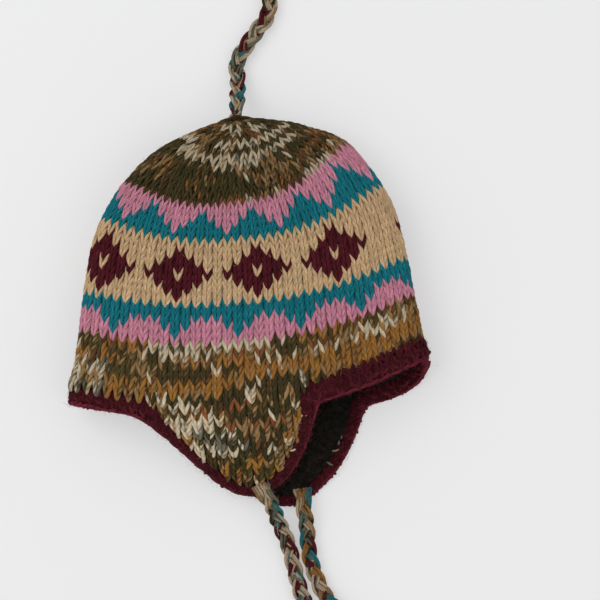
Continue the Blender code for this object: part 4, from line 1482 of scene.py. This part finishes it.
def lay_edging_loops():
    """Crochet loops over both faces of the edging, a chain along its outer edge, and its fuzz."""
    path, normals, widths, _ = evened_edging(LOOP_SPACING)
    out = edging_out(path, normals)
    along = unit(np.roll(path, -1, axis=0) - np.roll(path, 1, axis=0))
    points, fuzz = Points(), Fuzz(EDGING_FUZZ, EDGING_GLOW)
    for i, (point, normal, way, width, forward) in enumerate(zip(path, normals, out, widths, along)):
        lap = np.clip((point[0] - OVERLAP_FROM) / (OVERLAP_TO - OVERLAP_FROM), 0.0, 1.0)
        lap *= OVERLAP_REACH * np.clip(2 * normal[2], 0.0, 1.0)
        for face_side in (1.0, -1.0):
            bands = list(LOOP_BANDS)
            if face_side > 0 and lap > 0.0008:
                bands = [(0.0026 - lap) / width, (0.0026 - 0.6 * lap) / width - 0.05] + bands
            for band, share in enumerate(bands):
                lean = (LOOP_LEAN if (band + i) % 2 else -LOOP_LEAN) + rng.normal() * 0.25
                raised = -0.0012 if share < 0 else -0.0010 * max(share - 0.3, 0.0) - 0.0022
                foot = (point + way * (width * share + GAP)
                        + forward * (0.0020 * band + rng.normal() * 0.0007)
                        + normal * (face_side * (EDGING_THICKNESS / 2 + raised)))
                direction = unit(way + forward * lean)
                long = 0.54 if share > 0.5 else 0.62
                size = (0.95, long * width / RIM_EDGING_WIDTH + 0.06 * rng.normal(),
                        0.85 + 0.10 * rng.normal())
                colour = tinted(YARNS["wine" if share > 0.5 else "maroon"], 0.16)
                points.add(foot, direction, normal * face_side, size, colour,
                           int(rng.integers(2 * BENDS)))
                fuzz.grow(foot + normal * face_side * 0.0018, way, normal * face_side, colour, 0.004, 0.75)
        for leg in range(2):
            foot = (point + way * (width - CHAIN_INSET + GAP)
                    + normal * (0.0007 * rng.normal() + 0.0006 * (leg - 0.5)))
            direction = unit(forward + normal * 0.2 * (1 if leg else -1) + normal * rng.normal() * 0.06)
            # painted highlight: the chain along the outer edge is drawn in a lighter red than the maroon
            # loops
            colour = tinted(YARNS["claret_highlight"], 0.14)
            points.add(foot, direction, way, (0.85, 0.95, 0.9), colour, 2 * int(rng.integers(BENDS)) + leg)
            fuzz.grow(foot + way * 0.0016, forward, way, colour, 0.004, 0.7)
    return points.lay("edging_loops", LEGS, EDGING_YARN), fuzz.lay("edging_fuzz")


# Ends of the knit's yarn that show through at the flaps' borders
FLECK_COLUMNS = ("down", "across", "turn", "yarn")
FLECK_SIZE = (0.6, 0.42, 0.6)
NEAR_FLECKS = (
    (0.17, -0.92, 0.8, "cream"), (0.27, -0.99, 1.0, "cream"), (0.50, -0.94, -0.1, "tan"),
    (0.62, -0.96, 0.7, "cream"),
)
FAR_FLECKS = (
    (0.47, -1.02, 0.4, "grey"), (0.52, -1.00, 0.2, "grey"), (0.60, -0.98, 1.2, "tan"),
    (0.70, -1.02, 1.1, "grey"),
)


def lay_flecks(name, flap, flecks, inner):
    """Short ends of yarn along a flap's border, on its outer or its inner face."""
    points = Points()
    for row in flecks:
        fleck = dict(zip(FLECK_COLUMNS, row))
        place, wale, normal = flap.frame(fleck["down"], fleck["across"])
        if inner:
            place, normal = place - normal * (KNIT_WALL + LINING_WALL), -normal
        around = np.cross(wale, normal)
        direction = wale * math.cos(fleck["turn"]) + around * math.sin(fleck["turn"])
        points.add(place - normal * 0.0004, direction, normal, FLECK_SIZE,
                   tinted(YARNS[fleck["yarn"]], 0.05), int(rng.integers(2 * BENDS)))
    return points.lay(name, LEGS, KNIT_YARN)


hand_over(lay_edging_band(), "maroon_wool", "edging")
for piece in lay_edging_loops() + (lay_flecks("near_border_flecks", near_flap, NEAR_FLECKS, False),
                                   lay_flecks("far_border_flecks", far_flap, FAR_FLECKS, True)):
    hand_over(piece, "maroon_wool")


# ---- Table and light ----

TABLE_HALF = 2.2             # half of the board's side


def add_table():
    """The pale board that the hat lies on."""
    corners = [(x * TABLE_HALF, y * TABLE_HALF, 0.0) for x, y in ((-1, -1), (1, -1), (1, 1), (-1, 1))]
    link(make_mesh("table", corners, [(0, 1, 2, 3)], table_finish()))


def add_light(name, place, size, power, colour):
    """A square soft light that shines at the hat."""
    data = bpy.data.lights.new(name, "AREA")
    data.shape = "SQUARE"
    data.size = size
    data.energy = power
    data.color = colour
    lamp = link(bpy.data.objects.new(name, data))
    lamp.location = place
    lamp.rotation_euler = (-Vector(place)).to_track_quat("-Z", "Y").to_euler()


def add_studio():
    """The room's even light and two soft lights above the hat."""
    scene = bpy.context.scene
    world = bpy.data.worlds.new("studio")
    world.use_nodes = True
    fill(world.node_tree, world.node_tree.nodes["Background"], Color=(0.98, 0.99, 1.0, 1.0), Strength=0.74)
    scene.world = world
    scene.view_settings.view_transform = "Standard"
    add_light("window", (-1.1, 0.7, 1.9), 1.6, 17.0, (0.98, 0.99, 1.0))
    add_light("fill", (1.3, -0.5, 1.8), 1.8, 5.0, (1.0, 0.985, 0.97))


add_table()
add_studio()
